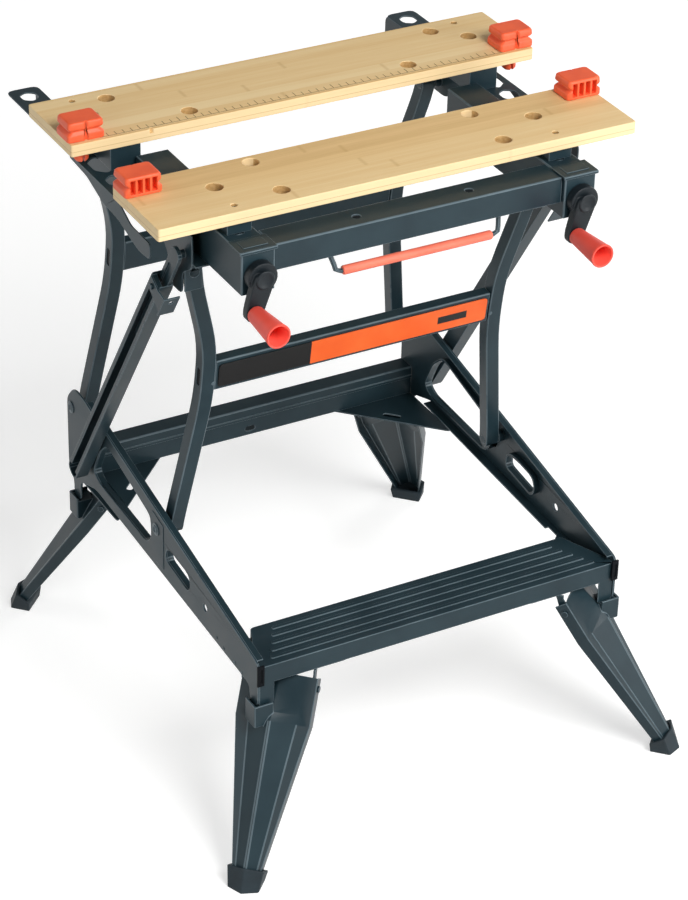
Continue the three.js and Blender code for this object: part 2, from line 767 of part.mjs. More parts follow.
function addCorner(parent, name, sideX, sideY, hingeY) {
  const corner = new THREE.Group();
  corner.position.set(sideX * (FRAME_HALF - FOOT_HINGE_INSET), hingeY, footHingeZ);
  corner.rotation.z = Math.atan2(sideY, sideX);
  const hand = -sideX * sideY;
  addPiece(corner, `corner_gusset_${name}`, gusset(hand), steel);
  addPiece(corner, `folding_foot_${name}`, foot(hand), steel);
  addPiece(corner, `foot_cap_${name}`, footCap(), blackPlastic);
  parent.add(corner);
}

// H-frames, in a frame at the bottom pivots with +Z along the legs

// The leg's middle line: out to the pivots at both ends, in at the crossbar, with eased bends.
function legLine() {
  const outside = legOuter - LEG_WIDTH / 2;
  const waist = outside - LEG_WAIST;
  const bend = CROSSBAR_TOP - CROSSBAR_HEIGHT / 2;
  const corners = [
    [outside, -2 * LEG_DEPTH],
    [outside, -4],
    [waist, bend - 33],
    [waist, bend + 43],
    [outside, LEG_LENGTH - 5],
    [outside, LEG_LENGTH + 2 * LEG_DEPTH],
  ].map(([x, z]) => new THREE.Vector2(x, z));
  const line = [corners[0]];
  for (let i = 1; i + 1 < corners.length; i += 1) {
    const toLast = corners[i - 1].clone().sub(corners[i]).setLength(LEG_BEND_EASE);
    const toNext = corners[i + 1].clone().sub(corners[i]).setLength(LEG_BEND_EASE);
    const before = corners[i].clone().add(toLast);
    const after = corners[i].clone().add(toNext);
    line.push(...new THREE.QuadraticBezierCurve(before, corners[i], after).getPoints(4));
  }
  line.push(corners[corners.length - 1]);
  return line;
}

// A strip of even width along a line, as a closed outline.
function strip(line, half) {
  const sides = line.map((point, i) => {
    const next = line[Math.min(i + 1, line.length - 1)];
    const last = line[Math.max(i - 1, 0)];
    const along = next.clone().sub(last).normalize();
    const across = new THREE.Vector2(along.y, -along.x);
    return [point.clone().addScaledVector(across, half), point.clone().addScaledVector(across, -half)];
  });
  const right = sides.map(([r]) => [r.x, r.y]);
  const left = sides.map(([, l]) => [l.x, l.y]).reverse();
  return [...right, ...left];
}

// A leg is a pressed channel that opens backwards, with round ends at its two pivots, a slot for
// the crossbar's tongue in its inner wall and an eye in its outer wall to reach it by.
function leg() {
  const half = LEG_DEPTH / 2;
  const line = legLine();
  const side = new THREE.Shape();
  side.absarc(0, 0, half, Math.PI, 2 * Math.PI, false);
  side.absarc(0, LEG_LENGTH, half, 0, Math.PI, false);
  const far = [0, FRAME_HALF + 10];
  const body = plateY(strip(line, LEG_WIDTH / 2), [-half, half]).intersect(plateX(side, far));
  const hollow = plateY(strip(line, LEG_WIDTH / 2 - SHEET), [-half + SHEET, half + 1]);
  const barMiddle = CROSSBAR_TOP - CROSSBAR_HEIGHT / 2;
  const tongueY = -half + CROSSBAR_SETBACK + CROSSBAR_DEPTH / 2;
  const waist = legOuter - LEG_WIDTH / 2 - LEG_WAIST;
  const slot = block(
    [far[0], waist],
    [tongueY - TONGUE_THICKNESS / 2 - FIT, tongueY + TONGUE_THICKNESS / 2 + FIT],
    [barMiddle - TONGUE_HEIGHT / 2 - FIT, barMiddle + TONGUE_HEIGHT / 2 + FIT],
  );
  const eye = rectangle(
    [tongueY - LEG_EYE_WIDTH / 2, tongueY + LEG_EYE_WIDTH / 2],
    [barMiddle - LEG_EYE_HEIGHT / 2, barMiddle + LEG_EYE_HEIGHT / 2],
  );
  return cutBy(
    body,
    hollow,
    slot,
    plateX(rounded(eye, SHEET), [waist, far[1]]),
    bar('x', PIN_RADIUS + FIT, far, [0, 0]),
    bar('x', PIN_RADIUS + FIT, far, [0, LEG_LENGTH]),
  );
}

// The crossbar is a channel between the legs, with a tongue into each leg.
function crossbar() {
  const waistInner = legInner - LEG_WAIST;
  const half = waistInner - RUN;
  const front = -LEG_DEPTH / 2 + CROSSBAR_SETBACK;
  const low = CROSSBAR_TOP - CROSSBAR_HEIGHT;
  const whole = block([-half, half], [front, front + CROSSBAR_DEPTH], [low, CROSSBAR_TOP]);
  const inside = block(
    [-half + SHEET, half - SHEET],
    [front + SHEET, front + CROSSBAR_DEPTH + 1],
    [low + SHEET, CROSSBAR_TOP - SHEET],
  );
  const middle = (low + CROSSBAR_TOP) / 2;
  const tongueY = front + CROSSBAR_DEPTH / 2;
  const tongueEnd = waistInner + SHEET + TONGUE_PAST;
  const tongue = (side) => block(
    side < 0 ? [-tongueEnd, -half + SHEET / 2] : [half - SHEET / 2, tongueEnd],
    [tongueY - TONGUE_THICKNESS / 2, tongueY + TONGUE_THICKNESS / 2],
    [middle - TONGUE_HEIGHT / 2, middle + TONGUE_HEIGHT / 2],
  );
  return joined(whole.subtract(inside), tongue(-1), tongue(1));
}

function labelPlate() {
  const half = legInner - LEG_WAIST - RUN - LABEL_SHORT;
  const front = -LEG_DEPTH / 2 + CROSSBAR_SETBACK - FIT;
  const height = [CROSSBAR_TOP - CROSSBAR_HEIGHT + LABEL_MARGIN, CROSSBAR_TOP - LABEL_MARGIN];
  return plateY(rounded(rectangle([-half, half], height), LABEL_MARGIN), [front - LABEL_THICKNESS, front]);
}

function addLegFrame(parent, name, pivot) {
  const frame = new THREE.Group();
  frame.position.set(0, pivot.y, pivot.z);
  frame.rotation.x = LEG_LEAN;
  addPair(frame, `${name}_leg`, leg(), steel);
  addPiece(frame, `${name}_crossbar`, crossbar(), steel);
  if (name === 'front') addPiece(frame, 'label_plate', labelPlate(), labelPrint);
  parent.add(frame);
}

// Top frame

// The side rail: a web with ears for the legs, a rear flange with openings and a seat for the channel.
function sideRail() {
  const face = FRAME_HALF + SHEET;
  const rear = { y: PIVOT_SPACING, z: PIVOT_RISE };
  const webOutline = [
    [RAIL_WEB_FRONT, railTop],
    [RAIL_WEB_FRONT, RAIL_BOTTOM - 5],
    [-EAR_RADIUS, RAIL_BOTTOM * 0.4],
    [-EAR_RADIUS, -EAR_RADIUS],
    [EAR_RADIUS, -EAR_RADIUS],
    [EAR_RADIUS, RAIL_BOTTOM * 0.5],
    [EAR_RADIUS + 14, RAIL_BOTTOM],
    [rear.y - EAR_RADIUS - 14, RAIL_BOTTOM],
    [rear.y - EAR_RADIUS, rear.z - EAR_RADIUS],
    [rear.y + EAR_RADIUS, rear.z - EAR_RADIUS],
    [rear.y + EAR_RADIUS + 14, RAIL_BOTTOM + 9],
    [RAIL_REAR, RAIL_BOTTOM + 9],
    [RAIL_REAR, railTop],
  ];
  const outerEdge = FRAME_HALF + RAIL_FLANGE;
  const flange = rectangle([FRAME_HALF, outerEdge], [RAIL_FLANGE_FRONT, RAIL_REAR]);
  const armTop = railTop - RAIL_SKIRT_DROP;
  const skirt = [
    [RAIL_SKIRT_FRONT, armTop],
    [RAIL_SKIRT_FRONT, armTop - 20],
    [RAIL_FLANGE_FRONT - 55, armTop - 22],
    [RAIL_FLANGE_FRONT - 21, armTop - 14],
    [RAIL_FLANGE_FRONT - 2, armTop - 8],
    [RAIL_FLANGE_FRONT + 40, armTop - 6],
    [RAIL_FLANGE_FRONT + 84, railTop - 8],
    [RAIL_FLANGE_FRONT + 130, railTop - 5],
    [RAIL_FLANGE_FRONT + 130, railTop],
    [RAIL_FLANGE_FRONT, railTop],
    [RAIL_FLANGE_FRONT - 34, armTop],
  ];
  const seat = rectangle([channelInner, face - SHEET / 2], [RAIL_SEAT_FRONT, channelRear]);
  const earPlate = [
    [legInner + 6, face - SHEET / 2],
    [-EAR_RADIUS - 5, -EAR_RADIUS - 3],
    [-12, RAIL_BOTTOM + 1],
  ];
  const opening = (y, width, length) => {
    const x = FRAME_HALF + RAIL_FLANGE / 2;
    const hexagon = [
      [x - width / 2, y - length / 4],
      [x, y - length / 2],
      [x + width / 2, y - length / 4],
      [x + width / 2, y + length / 4],
      [x, y + length / 2],
      [x - width / 2, y + length / 4],
    ];
    return plateZ(rounded(hexagon, 4), [railTop - SHEET - 1, railTop + 1]);
  };
  const pivotPin = (at) => joined(
    bar('x', PIN_RADIUS, [pinInnerEnd, face - SHEET / 2], at),
    bar('x', SPACER_RADIUS, [legOuter + FIT, face - SHEET / 2], at),
  );
  return cutBy(
    joined(
      plateX(rounded(webOutline, 9), [FRAME_HALF, face]),
      plateZ(rounded(flange, 9), [railTop - SHEET, railTop]),
      plateX(rounded(skirt, 6), [outerEdge - SHEET, outerEdge]),
      plateZ(seat, [RAIL_BOTTOM, RAIL_BOTTOM + SHEET]),
      block(...earPlate),
      pivotPin([0, 0]),
      pivotPin([rear.y, rear.z]),
      bar('x', PIN_RADIUS, [face - SHEET / 2, STRUT_INNER_X + SHEET], [STRUT_TOP_Y, STRUT_TOP_Z]),
    ),
    opening(RAIL_REAR - 24, 20, 26),
    opening(rearJawEdge + 22, 24, 44),
    opening(rearJawEdge - 22, 22, 30),
    bar('y', EAR_HOLE_RADIUS, [-EAR_RADIUS - 6, -EAR_RADIUS - 2], [(legInner + FRAME_HALF) / 2 + 2, 10], 12),
  );
}

// The vise channel is an inverted channel with a closed front and a slot for the carriage.
function viseChannel() {
  const outer = block(
    [channelInner, channelOuter],
    [CHANNEL_FRONT, channelRear],
    [channelBottom, channelTop],
  );
  const inner = block(
    [channelInner + SHEET, channelOuter - SHEET],
    [CHANNEL_FRONT + SHEET, channelRear + 1],
    [channelBottom - 1, channelTop - SHEET],
  );
  const slot = plateZ(
    rounded(
      rectangle(
        [channelMiddle - SLOT_WIDTH / 2, channelMiddle + SLOT_WIDTH / 2],
        [nutMiddle - NECK_LENGTH / 2 - JAW_OPENING - 2, nutMiddle + NECK_LENGTH / 2 + JAW_TRAVEL + 2],
      ),
      SLOT_WIDTH / 2,
    ),
    [channelTop - SHEET - 1, channelTop + 1],
  );
  const frontWall = [CHANNEL_FRONT - 1, CHANNEL_FRONT + SHEET + 1];
  const journal = bar('y', SCREW_RADIUS + FIT, frontWall, [channelMiddle, screwZ]);
  const emboss = block(
    [channelInner + EMBOSS_MARGIN, channelOuter - EMBOSS_MARGIN],
    [CHANNEL_FRONT + EMBOSS_MARGIN, CHANNEL_FRONT + EMBOSS_MARGIN + EMBOSS_LENGTH],
    [channelTop - SHEET / 2, channelTop + EMBOSS_HEIGHT],
  );
  return cutBy(outer.add(emboss), inner, slot, journal);
}

function leadScrew() {
  const front = CHANNEL_FRONT - FIT - CRANK_HUB_LENGTH + SHEET;
  return bar('y', SCREW_RADIUS, [front, channelRear - SCREW_SHORT], [channelMiddle, screwZ]);
}

// The carriage: a nut block on the screw, a neck in the slot and a pad under the front jaw.
function carriage() {
  const pad = block(
    [channelMiddle - CARRIAGE_WIDTH / 2, channelMiddle + CARRIAGE_WIDTH / 2],
    [padFront, padFront + CARRIAGE_LENGTH],
    [channelTop + FIT, jawUnderside - FIT],
  );
  const neck = plateZ(
    rounded(
      rectangle(
        [channelMiddle - SLOT_WIDTH / 2 + RUN, channelMiddle + SLOT_WIDTH / 2 - RUN],
        [nutMiddle - NECK_LENGTH / 2, nutMiddle + NECK_LENGTH / 2],
      ),
      SLOT_WIDTH / 2 - RUN,
    ),
    [channelTop - SHEET - RUN - 1, channelTop + FIT + 1],
  );
  const nut = block(
    [channelInner + SHEET + RUN, channelOuter - SHEET - RUN],
    [nutMiddle - NUT_LENGTH / 2, nutMiddle + NUT_LENGTH / 2],
    [screwZ - NUT_BELOW_SCREW, channelTop - SHEET - RUN],
  );
  const threadRun = [nutMiddle - NUT_LENGTH, nutMiddle + NUT_LENGTH];
  const thread = bar('y', SCREW_RADIUS + FIT, threadRun, [channelMiddle, screwZ]);
  return joined(pad, neck, nut.subtract(thread));
}

// The rear jaw stands on a folded bracket on each side rail.
function rearBracket() {
  const x = [FRAME_HALF - BRACKET_IN, FRAME_HALF + BRACKET_OUT];
  const y = [rearJawEdge + BRACKET_NEAR, rearJawEdge + REAR_JAW_WIDTH - BRACKET_FAR];
  const z = [railTop + FIT, jawUnderside - FIT];
  return block(x, y, z).subtract(block(
    [x[0] + BRACKET_WALL, x[1] - BRACKET_WALL],
    [y[0] + BRACKET_WALL, y[1] - BRACKET_WALL],
    [z[0] - 1, z[1] - BRACKET_WALL],
  ));
}

function frontBeam() {
  const half = channelInner - FIT;
  const front = CHANNEL_FRONT + FRONT_BEAM_SETBACK;
  const rear = front + FRONT_BEAM_DEPTH;
  const low = channelTop - FRONT_BEAM_HEIGHT;
  const shell = block([-half, half], [front, rear], [low, channelTop]).subtract(block(
    [-half + SHEET, half - SHEET],
    [front + SHEET, rear - SHEET],
    [low - 1, channelTop - SHEET],
  ));
  const lug = (x) => block(
    [x - RELEASE_LUG / 2, x + RELEASE_LUG / 2],
    [releasePivot.y - 8, releasePivot.y + 8],
    [releasePivot.z - 7, channelTop - SHEET / 2],
  );
  const topSheet = [channelTop - SHEET - 1, channelTop + 1];
  const holes = [-1, 1].map((side) => (
    bar('z', FRONT_BEAM_HOLE_RADIUS, topSheet, [side * FRONT_BEAM_HOLE_X, (front + rear) / 2])
  ));
  const eyeRun = releaseEye + 2 * RELEASE_LUG;
  const eyes = bar('x', WIRE_RADIUS + FIT, [-eyeRun, eyeRun], [releasePivot.y, releasePivot.z], 12);
  return cutBy(joined(shell, lug(-releaseEye), lug(releaseEye)), ...holes, eyes);
}

// Release bar: a wire bail hung in the front beam, with a soft sleeve to pull on.
const releasePivot = {
  y: CHANNEL_FRONT + FRONT_BEAM_SETBACK + FRONT_BEAM_DEPTH / 2,
  z: channelTop - FRONT_BEAM_HEIGHT + 14,
};
const releaseEye = RELEASE_HALF + 14;

function releaseWire() {
  const low = { y: releasePivot.y - RELEASE_FORWARD, z: releasePivot.z - RELEASE_DROP };
  const stub = releaseEye + 4;
  const bend = releaseEye - 7;
  const points = [
    [-stub, releasePivot.y, releasePivot.z],
    [-bend, releasePivot.y, releasePivot.z],
    [-bend + 1, releasePivot.y - 4, releasePivot.z - 11],
    [-RELEASE_HALF - 1, low.y + 1, low.z + 7],
    [-RELEASE_HALF + 5, low.y, low.z],
    [0, low.y, low.z],
    [RELEASE_HALF - 5, low.y, low.z],
    [RELEASE_HALF + 1, low.y + 1, low.z + 7],
    [bend - 1, releasePivot.y - 4, releasePivot.z - 11],
    [bend, releasePivot.y, releasePivot.z],
    [stub, releasePivot.y, releasePivot.z],
  ].map((p) => new THREE.Vector3(...p));
  const round = new THREE.Shape();
  round.absarc(0, 0, WIRE_RADIUS, 0, 2 * Math.PI, false);
  const path = new THREE.CatmullRomCurve3(points, false, 'catmullrom', 0.2);
  return solidOf(new THREE.ExtrudeGeometry(round, { steps: 44, extrudePath: path, curveSegments: 4 }));
}

function releaseSleeve() {
  const at = [releasePivot.y - RELEASE_FORWARD, releasePivot.z - RELEASE_DROP];
  const half = RELEASE_HALF - SLEEVE_SHORT;
  const bore = bar('x', WIRE_RADIUS + FIT, [-half - 1, half + 1], at, 14);
  return bar('x', SLEEVE_RADIUS, [-half, half], at, 14).subtract(bore);
}

// Cranks, in a frame on the screw's axis at the channel's front, with +Z against the arm

function crankArm() {
  const back = -FIT;
  const hub = bar('y', CRANK_HUB_RADIUS, [back - CRANK_HUB_LENGTH, back], [0, 0], 28);
  const armFront = back - CRANK_HUB_LENGTH - CRANK_ARM_THICKNESS / 2;
  const arm = [
    [-13, 6],
    [13, 6],
    [11, -CRANK_THROW],
    [7, -CRANK_THROW - 11],
    [-7, -CRANK_THROW - 11],
    [-11, -CRANK_THROW],
  ];
  const bore = bar('y', SCREW_RADIUS + FIT, [back - CRANK_HUB_LENGTH + SHEET - FIT, 1], [0, 0], 16);
  const spindle = bar('y', SPINDLE_RADIUS, [armFront - SPINDLE_LENGTH, armFront + 1], [0, -CRANK_THROW], 14);
  return cutBy(
    joined(hub, plateY(rounded(arm, 8), [armFront, armFront + CRANK_ARM_THICKNESS]), spindle),
    bore,
  );
}

// The knob is a tapered cup that turns on the arm's spindle, open at its outer end.
function crankKnob() {
  const root = -FIT - CRANK_HUB_LENGTH - CRANK_ARM_THICKNESS / 2 - FIT;
  const at = [0, -CRANK_THROW];
  const cone = (rootRadius, mouthRadius, from, to) => bar('y', mouthRadius, [from, to], at, 28, rootRadius);
  const taper = (KNOB_MOUTH_RADIUS - KNOB_ROOT_RADIUS) / KNOB_LENGTH;
  const whole = cone(KNOB_ROOT_RADIUS, KNOB_MOUTH_RADIUS, root - KNOB_LENGTH, root);
  const cup = cone(
    KNOB_ROOT_RADIUS + taper * KNOB_FLOOR - KNOB_WALL,
    KNOB_MOUTH_RADIUS - KNOB_WALL + taper,
    root - KNOB_LENGTH - 1,
    root - KNOB_FLOOR,
  );
  const bore = bar('y', SPINDLE_RADIUS + FIT, [root - KNOB_LENGTH, root + 1], at, 14);
  return cutBy(whole, cup, bore);
}

function addCrank(parent, name, side) {
  const crank = new THREE.Group();
  crank.position.set(side * channelMiddle, CHANNEL_FRONT, screwZ);
  crank.rotation.y = CRANK_LEAN;
  addPiece(crank, `crank_arm_${name}`, crankArm(), blackPlastic);
  addPiece(crank, `crank_knob_${name}`, crankKnob(), coralPlastic);
  parent.add(crank);
}

// Jaws: boards with dog holes, small fixing holes and the holes of the swivel grips

function jaw(front, width, dogHoles, fixing, gripY) {
  const gripX = jawHalf - GRIP_FROM_END;
  const outline = rounded(rectangle([-jawHalf, jawHalf], [front, front + width]), JAW_CORNER);
  const through = [jawUnderside - 1, jawTop + 1];
  const holes = [];
  for (const side of [-1, 1]) {
    for (const [x, y] of dogHoles) {
      holes.push(bar('z', DOG_HOLE_RADIUS, through, [side * x, front + y]));
    }
    holes.push(bar('z', SCREW_HOLE_RADIUS, through, [side * fixing[0], front + fixing[1]], 12));
    holes.push(bar('z', DOG_HOLE_RADIUS, through, [side * gripX, gripY]));
  }
  return cutBy(plateZ(outline, [jawUnderside, jawTop]), ...holes);
}

function frontJaw() {
  const dogHoles = [
    [FRONT_DOG_X, FRONT_DOG_NEAR],
    [FRONT_DOG_X, FRONT_JAW_WIDTH - FRONT_DOG_FAR],
    [channelMiddle, FRONT_JAW_WIDTH - CHANNEL_DOG_FAR],
  ];
  return jaw(FRONT_JAW_EDGE, FRONT_JAW_WIDTH, dogHoles, [channelMiddle, FRONT_FIXING_NEAR], frontGripY);
}

function rearJaw() {
  const dogHoles = [
    [REAR_DOG_INNER.x, REAR_DOG_INNER.near],
    [REAR_DOG_MIDDLE.x, REAR_JAW_WIDTH - REAR_DOG_MIDDLE.far],
    [REAR_DOG_OUTER.x, REAR_DOG_OUTER.near],
  ];
  const fixing = [REAR_FIXING.x, REAR_JAW_WIDTH - REAR_FIXING.far];
  const vee = [
    [-NOTCH_X - NOTCH_WIDTH / 2, rearJawEdge - 1],
    [-NOTCH_X + NOTCH_WIDTH / 2, rearJawEdge - 1],
    [-NOTCH_X, rearJawEdge + NOTCH_DEPTH],
  ];
  const notch = plateZ(vee, [jawTop - NOTCH_DEPTH, jawTop + 1]);
  return jaw(rearJawEdge, REAR_JAW_WIDTH, dogHoles, fixing, rearGripY).subtract(notch);
}

const frontGripY = FRONT_JAW_EDGE + FRONT_JAW_WIDTH - GRIP_FROM_EDGE;
const rearGripY = rearJawEdge + GRIP_FROM_EDGE;

// A swivel grip: two tiers with a waist between them on three sides, an upright crease at the
// middle of its back, four cores in its face, and a split peg.
function swivelGrip() {
  const half = GRIP_LENGTH / 2;
  const back = GRIP_DEPTH / 2;
  const middle = GRIP_HEIGHT / 2;
  const shoulder = GRIP_WAIST;
  const profile = [
    [-half, 0],
    [half, 0],
    [half, middle - shoulder],
    [half - GRIP_WAIST, middle],
    [half - 1, middle + shoulder],
    [half - GRIP_TAPER, GRIP_HEIGHT],
    [GRIP_TAPER - half, GRIP_HEIGHT],
    [1 - half, middle + shoulder],
    [GRIP_WAIST - half, middle],
    [-half, middle - shoulder],
  ];
  const body = plateY(rounded(profile, 2), [-back, back]);
  const waist = plateX(
    [[back + 1, middle - shoulder - 1], [back + 1, middle + shoulder + 1], [back - GRIP_WAIST, middle]],
    [-half - 1, half + 1],
  );
  const crease = plateZ(
    [[-GRIP_CREASE - 1, back + 1], [0, back - GRIP_CREASE], [GRIP_CREASE + 1, back + 1]],
    [-1, GRIP_HEIGHT + 1],
  );
  const cores = Array.from({ length: GRIP_CORES }, (_, i) => {
    const x = GRIP_CORE_PITCH * (i - (GRIP_CORES - 1) / 2);
    return block(
      [x - GRIP_CORE_WIDTH / 2, x + GRIP_CORE_WIDTH / 2],
      [-back - 1, -back + GRIP_CORE_DEPTH],
      [GRIP_CORE_FLOOR, GRIP_HEIGHT - GRIP_CORE_HEADROOM],
    );
  });
  const pegEnd = -FIT - JAW_THICKNESS - PEG_BELOW;
  const peg = bar('z', PEG_RADIUS, [pegEnd, 1], [0, 0], 20);
  const gap = [-PEG_SPLIT / 2, PEG_SPLIT / 2];
  const across = [-PEG_RADIUS - 1, PEG_RADIUS + 1];
  const length = [pegEnd - 1, -PEG_ROOT];
  return cutBy(
    joined(body, cutBy(peg, block(gap, across, length), block(across, gap, length))),
    waist,
    crease,
    ...cores,
  );
}

function addGrip(parent, name, x, y, turn) {
  const grip = addPiece(parent, `swivel_grip_${name}`, swivelGrip(), orangePlastic);
  grip.position.set(x, y, jawTop + FIT);
  grip.rotation.z = turn;
}

// Side struts, in a frame at the strut's foot with +Z towards the pin on the side rail

const strutRun = {
  y: topOrigin.y + STRUT_TOP_Y - strutFoot.y,
  z: topOrigin.z + STRUT_TOP_Z - strutFoot.z,
};
const strutLength = Math.hypot(strutRun.y, strutRun.z);
const strutLean = Math.atan2(-strutRun.y, strutRun.z);
const latchZ = strutLength - LATCH_FROM_TOP;

function strut() {
  const half = STRUT_WIDTH / 2;
  const end = strutLength - STRUT_SHORT_OF_PIN;
  const x = [STRUT_INNER_X, STRUT_INNER_X + STRUT_DEPTH];
  const outline = rounded(rectangle([-half, half], [-half, end]), half * 0.8);
  const hollow = rounded(rectangle([SHEET - half, half - SHEET], [SHEET - half, end + half]), half * 0.7);
  const bridge = block([x[1] - 6, x[1]], [1 - half, half - 1], [latchZ - 8, latchZ + 8]);
  return cutBy(
    joined(
      plateX(outline, x).subtract(plateX(hollow, [x[0] + SHEET, x[1] + 1])),
      bridge,
      bar('x', LATCH_PIN_RADIUS, [x[1] - 2, x[1] + 5], [0, latchZ], 14),
    ),
    bar('x', PIN_RADIUS + FIT, [x[0] - 1, x[0] + SHEET + 1], [0, 0]),
  );
}

function strutSlider() {
  const half = STRUT_WIDTH / 2 - SHEET - RUN;
  const x = [STRUT_INNER_X + SHEET + FIT, STRUT_INNER_X + SHEET + FIT + SLIDER_THICKNESS];
  const start = strutLength - STRUT_SHORT_OF_PIN - SLIDER_LAP;
  const outline = rounded(rectangle([-half, half], [start, strutLength + half]), half * 0.9);
  const groove = rounded(rectangle([-half * 0.45, half * 0.45], [start + 12, strutLength - 18]), 4);
  return plateX(outline, x).subtract(plateX(groove, [x[1] - 2.5, x[1] + 1]));
}

// The latch lever turns on the strut's bridge; its tab is bent over to be pushed by hand.
function latchLever() {
  const x = STRUT_INNER_X + STRUT_DEPTH + FIT;
  const outline = [
    [9, latchZ + 9],
    [9, latchZ - 9],
    [-20, latchZ - 13],
    [-LATCH_REACH, latchZ - 10],
    [-LATCH_REACH, latchZ + 12],
    [-20, latchZ + 9],
  ];
  const plate = plateX(rounded(outline, 8), [x, x + SHEET]);
  const tab = block(
    [x - LATCH_TAB, x + SHEET],
    [-LATCH_REACH, -LATCH_REACH + SHEET],
    [latchZ - 6, latchZ + 8],
  );
  const eye = bar('x', LATCH_PIN_RADIUS + FIT, [x - 1, x + SHEET + 1], [0, latchZ], 14);
  return joined(plate, tab).subtract(eye);
}

// Assembly

const workbench = new THREE.Group();
workbench.name = 'folding_workbench';

const base = new THREE.Group();
addPair(base, 'base_beam', sideBeam(), steel);
addPiece(base, 'step', step(), steel);
addPiece(base, 'base_rear_bar', rearBar(), steel);
addPair(base, 'front_leg_pin', legPin(frontPivot), steel);
addPair(base, 'rear_leg_pin', legPin(rearPivot), steel);
for (const [nameX, sideX] of [['left', -1], ['right', 1]]) {
  addCorner(base, `front_${nameX}`, sideX, -1, BASE_FRONT + FOOT_HINGE_FROM_FRONT);
  addCorner(base, `rear_${nameX}`, sideX, 1, rearPostEnd - FOOT_HINGE_FROM_FRONT);
}
workbench.add(base);

addLegFrame(workbench, 'front', frontPivot);
addLegFrame(workbench, 'rear', rearPivot);

const struts = new THREE.Group();
struts.position.set(0, strutFoot.y, strutFoot.z);
struts.rotation.x = strutLean;
addPair(struts, 'strut', strut(), steel);
addPair(struts, 'strut_slider', strutSlider(), steel);
addPair(struts, 'latch_lever', latchLever(), steel);
workbench.add(struts);

const top = new THREE.Group();
top.position.set(0, topOrigin.y, topOrigin.z);
addPair(top, 'side_rail', sideRail(), steel);
addPair(top, 'vise_channel', viseChannel(), steel);
addPair(top, 'lead_screw', leadScrew(), brightSteel);
addPair(top, 'jaw_carriage', carriage(), steel);
addPair(top, 'rear_jaw_bracket', rearBracket(), steel);
addPiece(top, 'front_beam', frontBeam(), steel);
addPiece(top, 'release_wire', releaseWire(), steel);
addPiece(top, 'release_sleeve', releaseSleeve(), salmonFoam);
addPiece(top, 'front_jaw', frontJaw(), bamboo);
addPiece(top, 'rear_jaw', rearJaw(), bamboo);
for (const [name, side] of [['left', -1], ['right', 1]]) {
  addCrank(top, name, side);
  const gripX = side * (jawHalf - GRIP_FROM_END);
  addGrip(top, `front_${name}`, gripX, frontGripY, 0);
  addGrip(top, `rear_${name}`, gripX, rearGripY, Math.PI);
}
workbench.add(top);

export default workbench;
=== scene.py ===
"""Looks of the folding workbench: powder-coated steel, bamboo jaws and moulded plastic."""
import json
import math

import bmesh
import bpy
from mathutils import Matrix, Vector
from mathutils.geometry import tessellate_polygon

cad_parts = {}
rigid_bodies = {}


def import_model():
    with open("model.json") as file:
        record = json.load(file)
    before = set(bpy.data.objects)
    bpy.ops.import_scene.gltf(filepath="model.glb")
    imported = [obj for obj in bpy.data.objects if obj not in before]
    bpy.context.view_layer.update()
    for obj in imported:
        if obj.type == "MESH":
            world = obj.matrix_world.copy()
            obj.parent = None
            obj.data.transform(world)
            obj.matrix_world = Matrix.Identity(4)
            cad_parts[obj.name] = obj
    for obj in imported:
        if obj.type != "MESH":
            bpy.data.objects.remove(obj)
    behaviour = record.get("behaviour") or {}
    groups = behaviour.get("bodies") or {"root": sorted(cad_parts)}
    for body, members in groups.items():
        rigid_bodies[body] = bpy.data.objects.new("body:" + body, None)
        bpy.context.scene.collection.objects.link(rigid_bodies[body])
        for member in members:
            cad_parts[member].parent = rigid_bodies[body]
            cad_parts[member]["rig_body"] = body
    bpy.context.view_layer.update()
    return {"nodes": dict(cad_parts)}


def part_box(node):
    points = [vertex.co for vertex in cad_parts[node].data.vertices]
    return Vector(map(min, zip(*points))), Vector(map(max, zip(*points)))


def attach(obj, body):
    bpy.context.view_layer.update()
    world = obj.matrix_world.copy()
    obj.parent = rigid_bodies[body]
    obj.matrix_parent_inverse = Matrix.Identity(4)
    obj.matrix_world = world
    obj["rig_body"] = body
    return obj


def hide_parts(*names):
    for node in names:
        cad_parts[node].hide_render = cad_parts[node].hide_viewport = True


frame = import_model()
NODES = frame["nodes"]

MM = 0.001
SIDES = {"left": -1, "right": 1}
ENDS = ("front", "rear")
CORNERS = [f"{end}_{side}" for end in ENDS for side in SIDES]

# Places in mm. The sides mirror each other, so x is a distance from the middle of the bench,
# and a pair is (depth y, height z).
CHANNEL_X = 205.5
CRANK_HUB_FRONT = (-192.4, 712.3)
FRONT_LEG_PIVOT = (11, 283)
REAR_LEG_PIVOT = (257, 321)
LEG_RUN = (-55.07, 372.96)
CROSSBAR_MIDDLE = {"front": (-21.3, 501.6), "rear": (224.7, 539.6)}
STRUT_FOOT_PIN = (209, 263)
STRUT_TOP_PIN = (-67.07, 693.96)
# The latch pin's place along the strut, from its foot.
LATCH_RUN = 449.8
# The sheet of a side beam, and the plane inside it where its flanges and collars take root.
BEAM_BACK, BEAM_ROOT, BEAM_FACE = 240.2, 240.6, 243.2
WELD_DIMPLES = ((-150, 226), (-168, 222), (-196, 220), (-214, 217))
CROSSBAR_RIVETS = ((187, -28.8, 492), (187, -28.8, 509))
FRONT_JAW_SCREW = (CHANNEL_X, -117.1, 765.2)
REAR_JAW_SCREW = (256, 198.9, 765.2)
THREAD_PITCH = 5.0
# A swivel grip's head.
GRIP_HALF_LENGTH, GRIP_HALF_DEPTH, GRIP_HEIGHT, GRIP_CORNER = 23, 17, 24, 4.0

# Turns that point a shape's Z axis to the front and to the right.
TO_FRONT = Matrix.Rotation(math.pi / 2, 4, "X")
TO_RIGHT = Matrix.Rotation(math.pi / 2, 4, "Y")


# Materials

